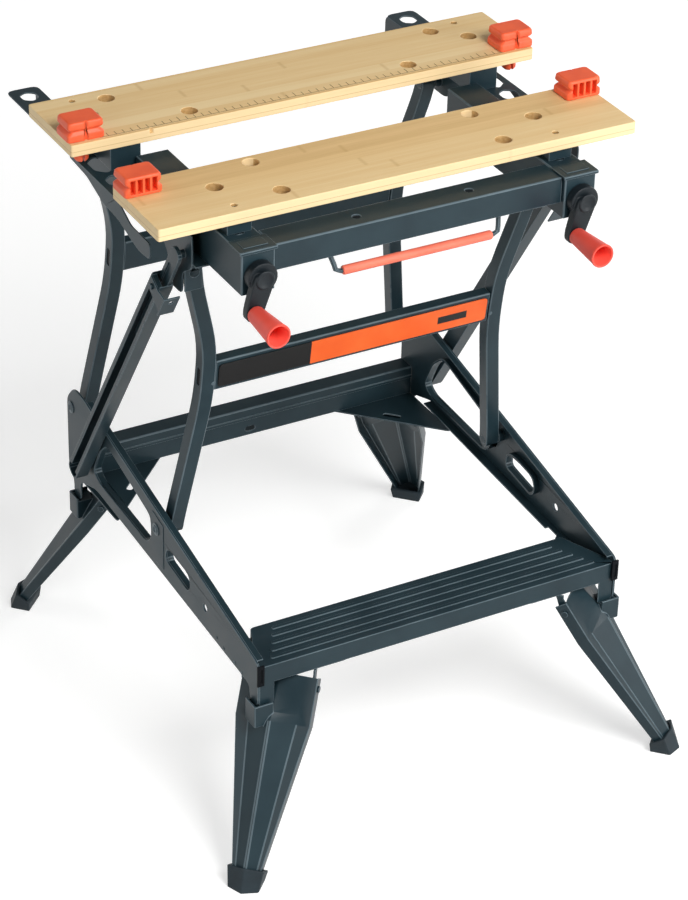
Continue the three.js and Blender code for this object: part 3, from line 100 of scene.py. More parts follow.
def linear(hex_colour):
    """An sRGB hex colour as linear RGBA."""
    channels = [int(hex_colour[i:i + 2], 16) / 255 for i in (1, 3, 5)]
    return [c / 12.92 if c <= 0.04045 else ((c + 0.055) / 1.055) ** 2.4 for c in channels] + [1.0]


def add(tree, kind, values=None, links=None, **settings):
    """Add a node with its settings, the values of its inputs and the sockets that feed it."""
    made = tree.nodes.new(kind)
    for name, value in settings.items():
        setattr(made, name, value)
    for name, value in (values or {}).items():
        made.inputs[name].default_value = value
    for name, socket in (links or {}).items():
        tree.links.new(socket, made.inputs[name])
    return made


def new_material(name, rough, specular=0.5, metallic=0.0):
    """An empty material: its tree, Object coordinates and its Principled shader."""
    material = bpy.data.materials.new(name)
    material.use_nodes = True
    tree = material.node_tree
    tree.nodes.clear()
    coords = add(tree, "ShaderNodeTexCoord").outputs["Object"]
    shader = add(
        tree, "ShaderNodeBsdfPrincipled",
        {"Roughness": rough, "Specular IOR Level": specular, "Metallic": metallic},
    )
    add(tree, "ShaderNodeOutputMaterial", links={"Surface": shader.outputs["BSDF"]})
    return material, tree, coords, shader


def per_mm(size):
    """The scale of a noise whose features are about this many millimetres."""
    return 1.0 / (size * MM)


def ramp(tree, factor, stops):
    """A colour ramp over a factor; stops are (position, hex colour)."""
    made = add(tree, "ShaderNodeValToRGB", links={"Fac": factor})
    elements = made.color_ramp.elements
    while len(elements) < len(stops):
        elements.new(0.5)
    for element, (position, colour) in zip(elements, stops):
        element.position = position
        element.color = linear(colour)
    return made.outputs["Color"]


def grained(tree, coords, shader, size, strength, depth):
    """A fine bump; its grain size and depth are in millimetres."""
    grain = add(
        tree, "ShaderNodeTexNoise", {"Scale": per_mm(size), "Detail": 2.0}, {"Vector": coords},
    )
    bump = add(
        tree, "ShaderNodeBump", {"Strength": strength, "Distance": depth * MM},
        {"Height": grain.outputs["Fac"]},
    )
    tree.links.new(bump.outputs["Normal"], shader.inputs["Normal"])


def clouded(tree, coords, shader, size, dark, light, rough, spread):
    """Slow colour and gloss changes over a surface, of the given size in millimetres."""
    cloud = add(
        tree, "ShaderNodeTexNoise", {"Scale": per_mm(size), "Detail": 3.0}, {"Vector": coords},
    )
    colour = ramp(tree, cloud.outputs["Fac"], [(0.35, dark), (0.65, light)])
    tree.links.new(colour, shader.inputs["Base Color"])
    gloss = add(
        tree, "ShaderNodeMapRange",
        {"From Min": 0.3, "From Max": 0.7, "To Min": rough - spread, "To Max": rough + spread},
        {"Value": cloud.outputs["Fac"]},
    )
    tree.links.new(gloss.outputs["Result"], shader.inputs["Roughness"])


def powder_coat(name, dark, light, rough):
    """Polyester powder coat on pressed steel: satin, its highlights broken by a fine orange peel."""
    material, tree, coords, shader = new_material(name, rough, 0.24)
    clouded(tree, coords, shader, 60, dark, light, rough, 0.05)
    # The real peel is under 1 mm across; it is drawn at 1.6 mm so that it shows.
    grained(tree, coords, shader, 1.6, 0.1, 0.3)
    return material


def moulded(name, colour, shade, rough, grain_mm, specular=0.4):
    """Injection-moulded plastic: even colour, a fine spark-eroded grain and soft gloss."""
    material, tree, coords, shader = new_material(name, rough, specular)
    clouded(tree, coords, shader, 25, shade, colour, rough, 0.05)
    grained(tree, coords, shader, grain_mm, 0.12, 0.15)
    return material


def bamboo(name, strip_mm, half_pitch_mm, glue_height):
    """Flat-pressed bamboo under clear lacquer: pale strips with knuckle bars, fine fibres and glue."""
    fibre_mm, band_mm, knuckle_mm, glue_mm = 1.4, 14, 4.0, 0.35
    material, tree, coords, shader = new_material(name, 0.5, 0.35)
    place = add(tree, "ShaderNodeSeparateXYZ", links={"Vector": coords})
    across = add(
        tree, "ShaderNodeMath", {1: strip_mm * MM}, {0: place.outputs["Y"]}, operation="DIVIDE",
    )
    strip = add(tree, "ShaderNodeMath", links={0: across.outputs[0]}, operation="FLOOR")
    chance = add(
        tree, "ShaderNodeTexWhiteNoise", links={"W": strip.outputs[0]}, noise_dimensions="1D",
    )

    # Fibres run along the strip, so the noise is drawn out forty times along X.
    drawn = add(tree, "ShaderNodeMapping", {"Scale": (1 / 40, 1.0, 1.0)}, {"Vector": coords})
    fibre, band = (
        add(
            tree, "ShaderNodeTexNoise", {"Scale": per_mm(size), "Detail": detail},
            {"Vector": drawn.outputs["Vector"]},
        )
        for size, detail in ((fibre_mm, 5.0), (band_mm, 2.0))
    )

    # Knuckles: a short darker bar at its own place along each strip.
    shifted = add(
        tree, "ShaderNodeMath", links={0: place.outputs["X"], 1: chance.outputs["Value"]},
        operation="ADD",
    )
    cycle = add(
        tree, "ShaderNodeMath", {1: half_pitch_mm * MM}, {0: shifted.outputs[0]},
        operation="PINGPONG",
    )
    knuckle = add(
        tree, "ShaderNodeMapRange",
        {"From Min": 0.0, "From Max": knuckle_mm * MM, "To Min": 0.3, "To Max": 0.0},
        {"Value": cycle.outputs[0]}, interpolation_type="SMOOTHSTEP",
    )
    # Each strip has a tone of its own, with broad bands and fibres in it.
    tone = add(tree, "ShaderNodeMath", {1: 0.4}, {0: chance.outputs["Value"]}, operation="MULTIPLY")
    for part, share in ((band, 0.45), (fibre, 0.3)):
        tone = add(
            tree, "ShaderNodeMath", {1: share}, {0: part.outputs["Fac"], 2: tone.outputs[0]},
            operation="MULTIPLY_ADD",
        )
    pale = ramp(tree, tone.outputs[0], [(0.2, "#cfa870"), (0.5, "#e3c088"), (0.8, "#edd2a0")])

    # Upright faces and their roundings are painted paler than the top and underside: a painted
    # highlight on the board's edges.
    facing = add(tree, "ShaderNodeNewGeometry")
    upright = add(
        tree, "ShaderNodeSeparateXYZ", links={"Vector": facing.outputs["True Normal"]},
    )
    level = add(tree, "ShaderNodeMath", links={0: upright.outputs["Z"]}, operation="ABSOLUTE")
    painted_edge_light = add(
        tree, "ShaderNodeMapRange",
        {"From Min": 0.2, "From Max": 0.8, "To Min": 0.6, "To Max": 0.0},
        {"Value": level.outputs[0]},
    )
    # The glue line between the two layers shows on the board's edges.
    near_glue = add(
        tree, "ShaderNodeMath", {1: glue_height, 2: glue_mm * MM}, {0: place.outputs["Z"]},
        operation="COMPARE",
    )
    glue = add(tree, "ShaderNodeMath", {1: 0.55}, {0: near_glue.outputs[0]}, operation="MULTIPLY")
    colour = pale
    for mark, factor in (
        ("#b98f52", knuckle.outputs["Result"]),
        ("#f6deb0", painted_edge_light.outputs["Result"]),
        ("#b48d55", glue.outputs[0]),
    ):
        colour = add(
            tree, "ShaderNodeMix", {"B": linear(mark)}, {"A": colour, "Factor": factor},
            data_type="RGBA",
        ).outputs["Result"]
    tree.links.new(colour, shader.inputs["Base Color"])
    grain = add(
        tree, "ShaderNodeBump", {"Strength": 0.15, "Distance": 0.2 * MM},
        {"Height": fibre.outputs["Fac"]},
    )
    tree.links.new(grain.outputs["Normal"], shader.inputs["Normal"])
    return material


def drilled_bamboo_painted_shade(name):
    """Bamboo in a hole's wall: painted darker as the shade inside the hole, and matt, with torn fibres
    that take no polish.
    """
    material, tree, coords, shader = new_material(name, 0.8, 0.2)
    clouded(tree, coords, shader, 4, "#b9915a", "#cfa972", 0.8, 0.05)
    grained(tree, coords, shader, 1.0, 0.2, 0.2)
    return material


def zinc_plate(name):
    """Bright zinc on turned steel: pale metal with a faint cloudy passivation."""
    material, tree, coords, shader = new_material(name, 0.34, metallic=1.0)
    clouded(tree, coords, shader, 8, "#7d8388", "#a3a8ab", 0.34, 0.06)
    return material


def label_film(name, left, right, middle_z):
    """Printed vinyl film under a clear laminate: a black field, and an orange one with a dark panel."""
    black_share = 0.335
    panel_length, panel_height, panel_from_right = 40.0, 10.0, 48.0
    material, tree, coords, shader = new_material(name, 0.35, 0.3)
    place = add(tree, "ShaderNodeSeparateXYZ", links={"Vector": coords})
    field = add(
        tree, "ShaderNodeMath", {1: left + (right - left) * black_share}, {0: place.outputs["X"]},
        operation="LESS_THAN",
    )
    along, up = (
        add(
            tree, "ShaderNodeMath", {1: middle, 2: size / 2 * MM}, {0: place.outputs[axis]},
            operation="COMPARE",
        )
        for axis, middle, size in (
            ("X", right - panel_from_right * MM, panel_length), ("Z", middle_z, panel_height),
        )
    )
    panel = add(
        tree, "ShaderNodeMath", links={0: along.outputs[0], 1: up.outputs[0]}, operation="MULTIPLY",
    )
    ink = add(
        tree, "ShaderNodeMath", links={0: field.outputs[0], 1: panel.outputs[0]},
        operation="MAXIMUM",
    )
    cloud = add(
        tree, "ShaderNodeTexNoise", {"Scale": per_mm(40), "Detail": 2.0}, {"Vector": coords},
    )
    orange = ramp(tree, cloud.outputs["Fac"], [(0.3, "#ea5d20"), (0.7, "#f06a2c")])
    colour = add(
        tree, "ShaderNodeMix", {"B": linear("#0c0b0b")}, {"A": orange, "Factor": ink.outputs[0]},
        data_type="RGBA",
    )
    tree.links.new(colour.outputs["Result"], shader.inputs["Base Color"])
    return material


def printed_ink(name):
    """Screen-printed brown ink on lacquer: thin, matt and slightly broken by the grain."""
    material, tree, coords, shader = new_material(name, 0.7)
    clouded(tree, coords, shader, 3, "#6f5634", "#8a6d44", 0.7, 0.05)
    return material


jaw_low, jaw_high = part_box("rear_jaw")
label_low, label_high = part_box("label_plate")
# Frame: the rounded edges take a paler coat, a painted highlight along each edge.
STEEL = powder_coat("slate_powder_coat_on_steel", "#1c2d34", "#22343b", 0.36)
STEEL_EDGE_HIGHLIGHT = powder_coat("slate_powder_coat_painted_edge_highlight", "#4c5b62", "#5c6b72", 0.3)
COATS = [STEEL, STEEL_EDGE_HIGHLIGHT]
# Jaws: strips 19 mm wide with a knuckle every 520 mm, and the glue line 6 mm above the underside.
BAMBOO = bamboo("lacquered_pressed_bamboo", 19.0, 260.0, jaw_low[2] + 6.0 * MM)
BORE_SHADE = drilled_bamboo_painted_shade("drilled_bamboo_painted_shade")
INK = printed_ink("screen_printed_ink")
# Grips, knobs, cranks, foot caps, plugs and the release bar's sleeve, from glossy to soft.
ORANGE = moulded("moulded_orange_polypropylene", "#f4683f", "#ea5c36", 0.45, 0.8)
CORAL = moulded("moulded_coral_polypropylene", "#f65a4b", "#ec5142", 0.48, 0.8)
BLACK = moulded("moulded_black_polypropylene", "#141c21", "#10171b", 0.45, 0.9, 0.26)
BOOT = moulded("moulded_slate_rubber", "#2a353b", "#232c31", 0.6, 1.1, 0.24)
# Black nylon for the plugs; on the crossbar tongues it is painted shade in the legs' slots.
DARK = moulded("black_nylon_and_painted_shade", "#0a0e14", "#070a0e", 0.5, 0.9, 0.08)
SALMON = moulded("dipped_salmon_vinyl", "#f57c62", "#ec7058", 0.55, 1.2)
# Screws, and the film on the front crossbar.
ZINC = zinc_plate("zinc_plated_steel")
LABEL = label_film(
    "printed_label_film", label_low[0], label_high[0], (label_low[2] + label_high[2]) / 2,
)


# Pieces

def body_of(node):
    """The body that a CAD node rides on."""
    return NODES[node]["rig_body"]


def finish_mesh(mesh, name, body, stands_for=()):
    """Put a finished mesh in the scene as a piece that rides a body."""
    mesh.name = name + "_shape"
    piece = bpy.data.objects.new(name, mesh)
    bpy.context.scene.collection.objects.link(piece)
    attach(piece, body)
    if stands_for:
        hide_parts(*stands_for)


def stand_in(mesh, node):
    """Put a finished mesh in the scene in place of a CAD node."""
    finish_mesh(mesh, node + "_piece", body_of(node), [node])


def evaluated(mesh, prepare):
    """The mesh that modifiers make of another; prepare adds them to a working object."""
    work = bpy.data.objects.new("working", mesh)
    bpy.context.scene.collection.objects.link(work)
    prepare(work)
    graph = bpy.context.evaluated_depsgraph_get()
    done = bpy.data.meshes.new_from_object(work.evaluated_get(graph))
    bpy.data.objects.remove(work)
    return done


def merged_copy(node):
    """A CAD node's mesh with its loose triangles joined and its flat faces made whole."""
    shape = bmesh.new()
    shape.from_mesh(NODES[node].data)
    bmesh.ops.remove_doubles(shape, verts=shape.verts, dist=0.01 * MM)
    bmesh.ops.dissolve_limit(
        shape, angle_limit=math.radians(0.6), verts=shape.verts, edges=shape.edges,
    )
    bmesh.ops.connect_verts_concave(shape, faces=shape.faces)
    return shape


def rounded_mesh(shape, materials, edge, angle=32.0, fold=180.0):
    """A mesh with its edges rounded to catch the light; edge is the width in mm.

    Every edge that turns by more than angle degrees is rounded, and a long one from fold degrees
    on. A narrow face gets a narrower rounding. The last material is the rounding's.
    """
    long_edge, face_share = 90 * MM, 0.35
    weights = shape.edges.layers.float.new("bevel_weight_edge")
    for line in shape.edges:
        length = line.calc_length()
        turn = math.degrees(line.calc_face_angle(0.0)) if len(line.link_faces) == 2 else 0.0
        if turn > angle or (turn > fold and length > long_edge):
            reach = min(face.calc_area() for face in line.link_faces) / max(length, 1e-6)
            line[weights] = min(1.0, face_share * reach / (edge * MM))
    mesh = bpy.data.meshes.new("sharp")
    shape.to_mesh(mesh)
    shape.free()
    for material in materials:
        mesh.materials.append(material)
    mesh.shade_smooth()

    def bevelled(work):
        bevel = work.modifiers.new("round_edges", "BEVEL")
        bevel.width = edge * MM
        bevel.segments = 3
        bevel.limit_method = "WEIGHT"
        bevel.use_clamp_overlap = False
        # The roundings take the last material; on steel that is the paler coat, a painted highlight
        # along each edge.
        bevel.material = len(materials) - 1
        level = work.modifiers.new("keep_faces_flat", "WEIGHTED_NORMAL")
        level.keep_sharp = True

    return evaluated(mesh, bevelled)


def softened(node, materials, edge=0.6, fold=180.0):
    """A piece that is a CAD node with its edges rounded."""
    stand_in(rounded_mesh(merged_copy(node), materials, edge, fold=fold), node)


def jaw_board(node):
    """A bamboo jaw: rounded edges, and the walls of the holes well inside its outline in darker bamboo,
    painted shade.
    """
    low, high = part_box(node)
    mesh = rounded_mesh(merged_copy(node), [BAMBOO], 0.8)
    mesh.materials.append(BORE_SHADE)
    # Hole walls take the darker bamboo: painted shade in the holes.
    margin = 8 * MM
    for face in mesh.polygons:
        inside = all(low[i] + margin < face.center[i] < high[i] - margin for i in (0, 1))
        if inside and abs(face.normal.z) < 0.3:
            face.material_index = 1
    stand_in(mesh, node)


# The width of each rounding in mm; steel that isn't named has 0.6.
EDGE_MM = {
    "base_rear_bar": 2.0, "front_crossbar": 1.6, "rear_crossbar": 1.6, "front_beam": 1.8,
    "step": 1.2, "front_leg": 1.4, "rear_leg": 1.4, "vise_channel": 1.8, "folding_foot": 1.0,
}
SIDE_STEEL = (
    "front_leg", "rear_leg", "strut", "strut_slider", "side_rail", "vise_channel",
    "jaw_carriage", "rear_jaw_bracket", "front_leg_pin", "rear_leg_pin",
)
CORNER_STEEL = ("corner_gusset", "folding_foot")
STEEL_NODES = (
    ["step", "base_rear_bar", "front_crossbar", "rear_crossbar", "front_beam", "release_wire"]
    + [f"{name}_{side}" for side in SIDES for name in SIDE_STEEL]
    + [f"{name}_{corner}" for corner in CORNERS for name in CORNER_STEEL]
)
for node in STEEL_NODES:
    edges = [size for name, size in EDGE_MM.items() if node.startswith(name)]
    # The feet have long shallow folds, pressed to stiffen them.
    # Their crests are rounded in the paler coat, a painted highlight along each fold.
    fold = 9.0 if node.startswith("folding_foot") else 180.0
    softened(node, COATS, edges[0] if edges else 0.6, fold)
for side in SIDES:
    softened(f"crank_arm_{side}", [BLACK], edge=1.5)
for corner in CORNERS:
    softened(f"foot_cap_{corner}", [BOOT], edge=1.6)
for node in ("front_jaw", "rear_jaw"):
    jaw_board(node)
softened("label_plate", [LABEL], edge=0.4)


# Turned, pressed and moulded pieces

def moved(shape, place, turn):
    """A shape that is turned and then moved to a place in metres."""
    bmesh.ops.transform(shape, matrix=Matrix.Translation(place) @ turn, verts=shape.verts)
    return shape


def lathe(profile, steps=48):
    """A closed solid about Z from (radius, height) points in mm that start and end on the axis."""
    shape = bmesh.new()
    turns = [2 * math.pi * i / steps for i in range(steps)]
    rings = []
    for radius, height in profile:
        if radius == 0:
            rings.append([shape.verts.new((0, 0, height * MM))])
            continue
        rings.append([
            shape.verts.new((radius * MM * math.cos(a), radius * MM * math.sin(a), height * MM))
            for a in turns
        ])
    for low, high in zip(rings, rings[1:]):
        for here in range(steps):
            after = here + 1
            corners = [
                low[here % len(low)], low[after % len(low)],
                high[after % len(high)], high[here % len(high)],
            ]
            shape.faces.new(list(dict.fromkeys(corners)))
    bmesh.ops.recalc_face_normals(shape, faces=shape.faces)
    return shape


def plain_mesh(shape, material, angle=40.0):
    """A mesh of a shape that needs no rounding, smooth but for its sharp edges."""
    mesh = bpy.data.meshes.new("plain")
    shape.to_mesh(mesh)
    shape.free()
    mesh.materials.append(material)
    mesh.shade_smooth()
    mesh.set_sharp_from_angle(angle=math.radians(angle))
    return mesh


def straightened(loop):
    """A closed loop without the points that lie on a straight run, turning anticlockwise."""
    kept = []
    for i, here in enumerate(loop):
        into = (here - loop[i - 1]).normalized()
        out = (loop[(i + 1) % len(loop)] - here).normalized()
        if abs(into.cross(out)) > 0.01:
            kept.append(here)
    turn = sum(a.cross(b) for a, b in zip(kept, kept[1:] + kept[:1]))
    return kept if turn > 0 else kept[::-1]


def section_loops(node, x):
    """The closed (y, z) loops where a node crosses the upright plane at x, widest first."""
    shape = merged_copy(node)
    cut = bmesh.ops.bisect_plane(
        shape, geom=shape.verts[:] + shape.edges[:] + shape.faces[:],
        plane_co=(x, 0, 0), plane_no=(1, 0, 0), clear_outer=True, clear_inner=True,
    )
    spare = {line for line in cut["geom_cut"] if isinstance(line, bmesh.types.BMEdge)}
    loops = []
    while spare:
        start, here = spare.pop().verts
        loop = [start.co.yz]
        while here is not start:
            loop.append(here.co.yz)
            line = next(other for other in here.link_edges if other in spare)
            spare.remove(line)
            here = line.other_vert(here)
        loops.append(straightened(loop))
    shape.free()
    loops.sort(key=lambda loop: max(p.x for p in loop) - min(p.x for p in loop), reverse=True)
    return loops


def offset_loop(loop, distance):
    """A closed anticlockwise loop moved outwards by a distance in mm."""
    result = []
    for i, here in enumerate(loop):
        into = (here - loop[i - 1]).normalized()
        out = (loop[(i + 1) % len(loop)] - here).normalized()
        lean = (into + out).normalized()
        away = Vector((lean.y, -lean.x))
        result.append(here + away * distance * MM / max(0.5, lean.dot(into)))
    return result


def height_at(loop, depth, pick):
    """The highest or lowest point of a loop at one depth y."""
    heights = []
    for a, b in zip(loop, loop[1:] + loop[:1]):
        if (a.x - depth) * (b.x - depth) <= 0 and a.x != b.x:
            heights.append(a.y + (b.y - a.y) * (depth - a.x) / (b.x - a.x))
    return pick(heights)


def plate_shape(loops, x0, x1):
    """A closed plate between two upright planes, in mm, from an outline and its holes."""
    shape = bmesh.new()
    near, far = (
        [[shape.verts.new((x * MM, p.x, p.y)) for p in loop] for loop in loops] for x in (x0, x1)
    )
    near_points, far_points = sum(near, []), sum(far, [])
    for corner in tessellate_polygon([[p.to_3d() for p in loop] for loop in loops]):
        shape.faces.new([near_points[i] for i in corner])
        shape.faces.new([far_points[i] for i in reversed(corner)])
    for ring, other in zip(near, far):
        for i, start in enumerate(ring):
            shape.faces.new((ring[i - 1], start, other[i], other[i - 1]))
    bmesh.ops.recalc_face_normals(shape, faces=shape.faces)
    return shape


def side_plate(loops, sign, inner, outer, edge, materials=COATS):
    """A rounded plate on one side, between two distances from the middle of the bench."""
    return rounded_mesh(plate_shape(loops, sign * inner, sign * outer), materials, edge)


def joined_mesh(meshes):
    """Several meshes with the same materials as one."""
    shape = bmesh.new()
    for mesh in meshes:
        shape.from_mesh(mesh)
    whole = meshes[0].copy()
    shape.to_mesh(whole)
    shape.free()
    return whole


def points_mm(*pairs):
    """Points in metres from pairs in mm."""
    return [Vector(pair) * MM for pair in pairs]


STRUT_FOOT, STRUT_TOP = points_mm(STRUT_FOOT_PIN, STRUT_TOP_PIN)
STRUT_ALONG = (STRUT_TOP - STRUT_FOOT).normalized()
STRUT_ACROSS = Vector((STRUT_ALONG.y, -STRUT_ALONG.x))


def on_strut(*pairs):
    """Points in (y, z) from pairs of mm along a strut and across it."""
    return [STRUT_FOOT + (STRUT_ALONG * run + STRUT_ACROSS * reach) * MM for run, reach in pairs]


def at_latch(*pairs):
    """Points in (y, z) from pairs of mm along and across a strut, counted from its latch pin."""
    return on_strut(*((LATCH_RUN + run, reach) for run, reach in pairs))


def pressed_beam(side, sign):
    """A side beam pressed from sheet: rolled rim, turned-in flanges, window collars, raised band."""
    node = f"base_beam_{side}"
    loops = section_loops(node, sign * 241 * MM)
    outline, windows = loops[0], loops[1:3]
    parts = [side_plate(loops, sign, BEAM_BACK, BEAM_FACE, 1.4)]
    for window in windows:
        parts.append(side_plate([offset_loop(window, 2.6), window], sign, 232.6, BEAM_ROOT, 1.0))

    def on_rim(depth, pick, rise=0):
        """A point on the outline's top or bottom at one depth, raised by some mm."""
        return Vector((depth * MM, height_at(outline, depth * MM, pick) + rise * MM))

    # Each flange: top or bottom, how far in it reaches, its two ends and its thickness.
    for pick, inner, start, end, thick in (
        (max, 232.8, -248, 214, -2), (min, 228, -118, 186, 2), (min, 233, -176, -116, 2),
    ):
        ends = [on_rim(depth, pick) for depth in (start, end)]
        strip = ends + [point + Vector((0, thick * MM)) for point in reversed(ends)]
        parts.append(side_plate([strip], sign, inner, BEAM_ROOT, 0.6))
    band = [on_rim(-8, min, 9), on_rim(22, min, 9), on_rim(22, max, -7), on_rim(-8, max, -7)]
    parts.append(side_plate([band], sign, 242.8, 244.0, 0.8))
    pin = lathe([(0, BEAM_ROOT), (5, BEAM_ROOT), (5, 251.4), (4.4, 252), (0, 252)], 24)
    moved(pin, (0, *STRUT_FOOT), Matrix.Rotation(sign * math.pi / 2, 4, "Y"))
    parts.append(rounded_mesh(pin, COATS, 0.3))
    stand_in(joined_mesh(parts), node)


def strut_lips(side, sign):
    """The turned-in lips of a strut's open channel, from its foot up to the latch."""
    start, end, outer, inner = 2, 438, 10.5, 6.0
    parts = []
    for edge in (-1, 1):
        corners = on_strut(
            (start, outer * edge), (end, outer * edge), (end, inner * edge), (start, inner * edge),
        )
        parts.append(side_plate([corners], sign, 262.2, 264.0, 0.5))
    finish_mesh(
        joined_mesh(parts), f"strut_lips_{side}", body_of(f"strut_{side}"),
    )


def crank_knob(side):
    """A tapered hollow knob with a rolled rim; the spindle's end shows at its floor."""
    node = f"crank_knob_{side}"
    low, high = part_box(node)
    shape = lathe([
        # The foot and the flared outside
        (0, 0), (9.0, 0), (9.8, 0.8), (10.2, 2.0), (13.9, 51.5),
        # The rim
        (14.4, 53.6), (14.4, 55.0), (13.9, 55.8), (13.2, 55.9), (12.2, 55.4), (11.8, 54.0),
        # The bore, its floor and the spindle's end
        (8.4, 21.5), (7.4, 20.0), (4.6, 19.8), (4.4, 21.4), (3.0, 22.4), (0, 22.8),
    ])
    moved(shape, ((low[0] + high[0]) / 2, high[1], (low[2] + high[2]) / 2), TO_FRONT)
    stand_in(plain_mesh(shape, CORAL), node)


def crank_boss(side, sign):
    """The raised round boss on the front of a crank's hub."""
    shape = lathe([
        (0, -0.6), (11.4, -0.6), (11.4, 0.4), (10.6, 1.2), (8.6, 1.2), (7.8, 0.5), (0, 0.5),
    ])
    moved(shape, Vector((sign * CHANNEL_X, *CRANK_HUB_FRONT)) * MM, TO_FRONT)
    mesh = plain_mesh(shape, BLACK, 60.0)
    finish_mesh(mesh, f"crank_boss_{side}", body_of(f"crank_arm_{side}"))


def release_sleeve():
    """The soft sleeve on the release bar, rounded at its ends."""
    node = "release_sleeve"
    low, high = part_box(node)
    length = (high[0] - low[0]) / MM
    shape = lathe([
        (0, 0), (3.6, 0), (4.8, 0.5), (5.4, 1.6),
        (5.4, length - 1.6), (4.8, length - 0.5), (3.6, length), (0, length),
    ], 32)
    moved(shape, (low[0], (low[1] + high[1]) / 2, (low[2] + high[2]) / 2), TO_RIGHT)
    stand_in(plain_mesh(shape, SALMON), node)


def block_shape(x, y, z):
    """A box between pairs of limits in mm."""
    shape = bmesh.new()
    bmesh.ops.create_cube(shape, size=1.0)
    size = Matrix.Diagonal([(pair[1] - pair[0]) * MM for pair in (x, y, z)] + [1.0])
    return moved(shape, [(pair[0] + pair[1]) / 2 * MM for pair in (x, y, z)], size)


def carved(shape, cutters):
    """A shape with other shapes cut away from it."""
    mesh = bpy.data.meshes.new("whole")
    shape.to_mesh(mesh)
    shape.free()
    tools = []
    for cutter in cutters:
        tool = bpy.data.meshes.new("cutter")
        cutter.to_mesh(tool)
        cutter.free()
        tools.append(bpy.data.objects.new("cutter", tool))
        bpy.context.scene.collection.objects.link(tools[-1])

    def cut(work):
        for tool in tools:
            step = work.modifiers.new("cut", "BOOLEAN")
            step.operation = "DIFFERENCE"
            step.object = tool

    done = evaluated(mesh, cut)
    for tool in tools:
        bpy.data.objects.remove(tool)
    result = bmesh.new()
    result.from_mesh(done)
    bmesh.ops.remove_doubles(result, verts=result.verts, dist=0.02 * MM)
    return result


def grip_head():
    """A swivel grip's head: flat front, waisted ends and back, four cores and a crease behind."""
    shape = bmesh.new()
    rings = []
    # Each ring: its height, and how far its ends, its front and its back stand in.
    for height, ends_in, front_in, back_in in (
        (0, 1.0, 1.0, 1.0), (1, 0, 0, 0), (7.6, 0, 0, 0), (9.2, 1.6, 0, 0.8),
        (11.6, 4.6, 0, 2.8), (12.6, 4.6, 0, 2.8), (15, 1.6, 0, 0.7), (16.6, 0.8, 0, 0.2),
        (21.8, 1.4, 0.3, 0.7), (23.2, 2.4, 1.0, 1.6), (23.9, 4.0, 2.4, 3.2),
    ):
        end = GRIP_HALF_LENGTH - ends_in - GRIP_CORNER
        front = -GRIP_HALF_DEPTH + front_in + GRIP_CORNER
        back = GRIP_HALF_DEPTH - back_in - GRIP_CORNER
        ring = []
        for x, y, start in ((end, back, 0), (-end, back, 90), (-end, front, 180), (end, front, 270)):
            for step in range(5):
                angle = math.radians(start + step * 22.5)
                along, out = GRIP_CORNER * math.cos(angle), GRIP_CORNER * math.sin(angle)
                ring.append(shape.verts.new(Vector((x + along, y + out, height)) * MM))
        rings.append(ring)
    for low, high in zip(rings, rings[1:]):
        for i in range(len(low)):
            shape.faces.new((low[i - 1], low[i], high[i], high[i - 1]))
    shape.faces.new(rings[0][::-1])
    shape.faces.new(rings[-1])
    bmesh.ops.recalc_face_normals(shape, faces=shape.faces)
    cores = [
        block_shape((x - 3.0, x + 3.0), (-20, -7), (3.4, 20)) for x in (-13.2, -4.4, 4.4, 13.2)
    ]
    crease = block_shape((-2.4, 2.4), (14.6, 19.4), (-1, 30))
    bmesh.ops.rotate(
        crease, cent=Vector((0, GRIP_HALF_DEPTH, 0)) * MM,
        matrix=Matrix.Rotation(math.pi / 4, 3, "Z"), verts=crease.verts,
    )
    return carved(shape, cores + [crease])


def grip_peg():
    """The split peg under a swivel grip: four springy prongs with a lip at their tips."""
    shape = lathe([
        (0, -31.0), (6.4, -31.0), (8.6, -28.4), (8.8, -25.6), (8.2, -23.6), (8.2, 0.5), (0, 0.5),
    ], 32)
    narrow, wide, tall = (-1.6, 1.6), (-12, 12), (-36, -2)
    return carved(shape, [block_shape(narrow, wide, tall), block_shape(wide, narrow, tall)])


def swivel_grips():
    """The four grips; the rear pair is turned to face the front pair."""
    grip = joined_mesh([
        rounded_mesh(grip_head(), [ORANGE], 0.6, 40.0), rounded_mesh(grip_peg(), [ORANGE], 0.4, 40.0),
    ])
    for corner in CORNERS:
        node = f"swivel_grip_{corner}"
        low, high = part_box(node)
        seat = Vector((
            (low[0] + high[0]) / 2, (low[1] + high[1]) / 2, high[2] - GRIP_HEIGHT * MM,
        ))
        turn = Matrix.Rotation(math.pi if corner.startswith("rear") else 0.0, 4, "Z")
        mesh = grip.copy()
        mesh.transform(Matrix.Translation(seat) @ turn)
        stand_in(mesh, node)


def end_plug(side, sign):
    """The moulded plug in a beam's front end beside the step, with a slot to prise it out by."""
    inner, outer, front, back, foot, top = 235.5, 244.6, -257.4, -254.6, 224, 252
    x0, x1 = sorted((sign * inner, sign * outer))
    slot = block_shape((x0 + 3, x1 - 3), (front - 1.6, front + 1.2), (foot + 5, top - 5))
    shape = carved(block_shape((x0, x1), (front, back), (foot, top)), [slot])
    finish_mesh(rounded_mesh(shape, [DARK], 0.7), f"end_plug_{side}", "base")


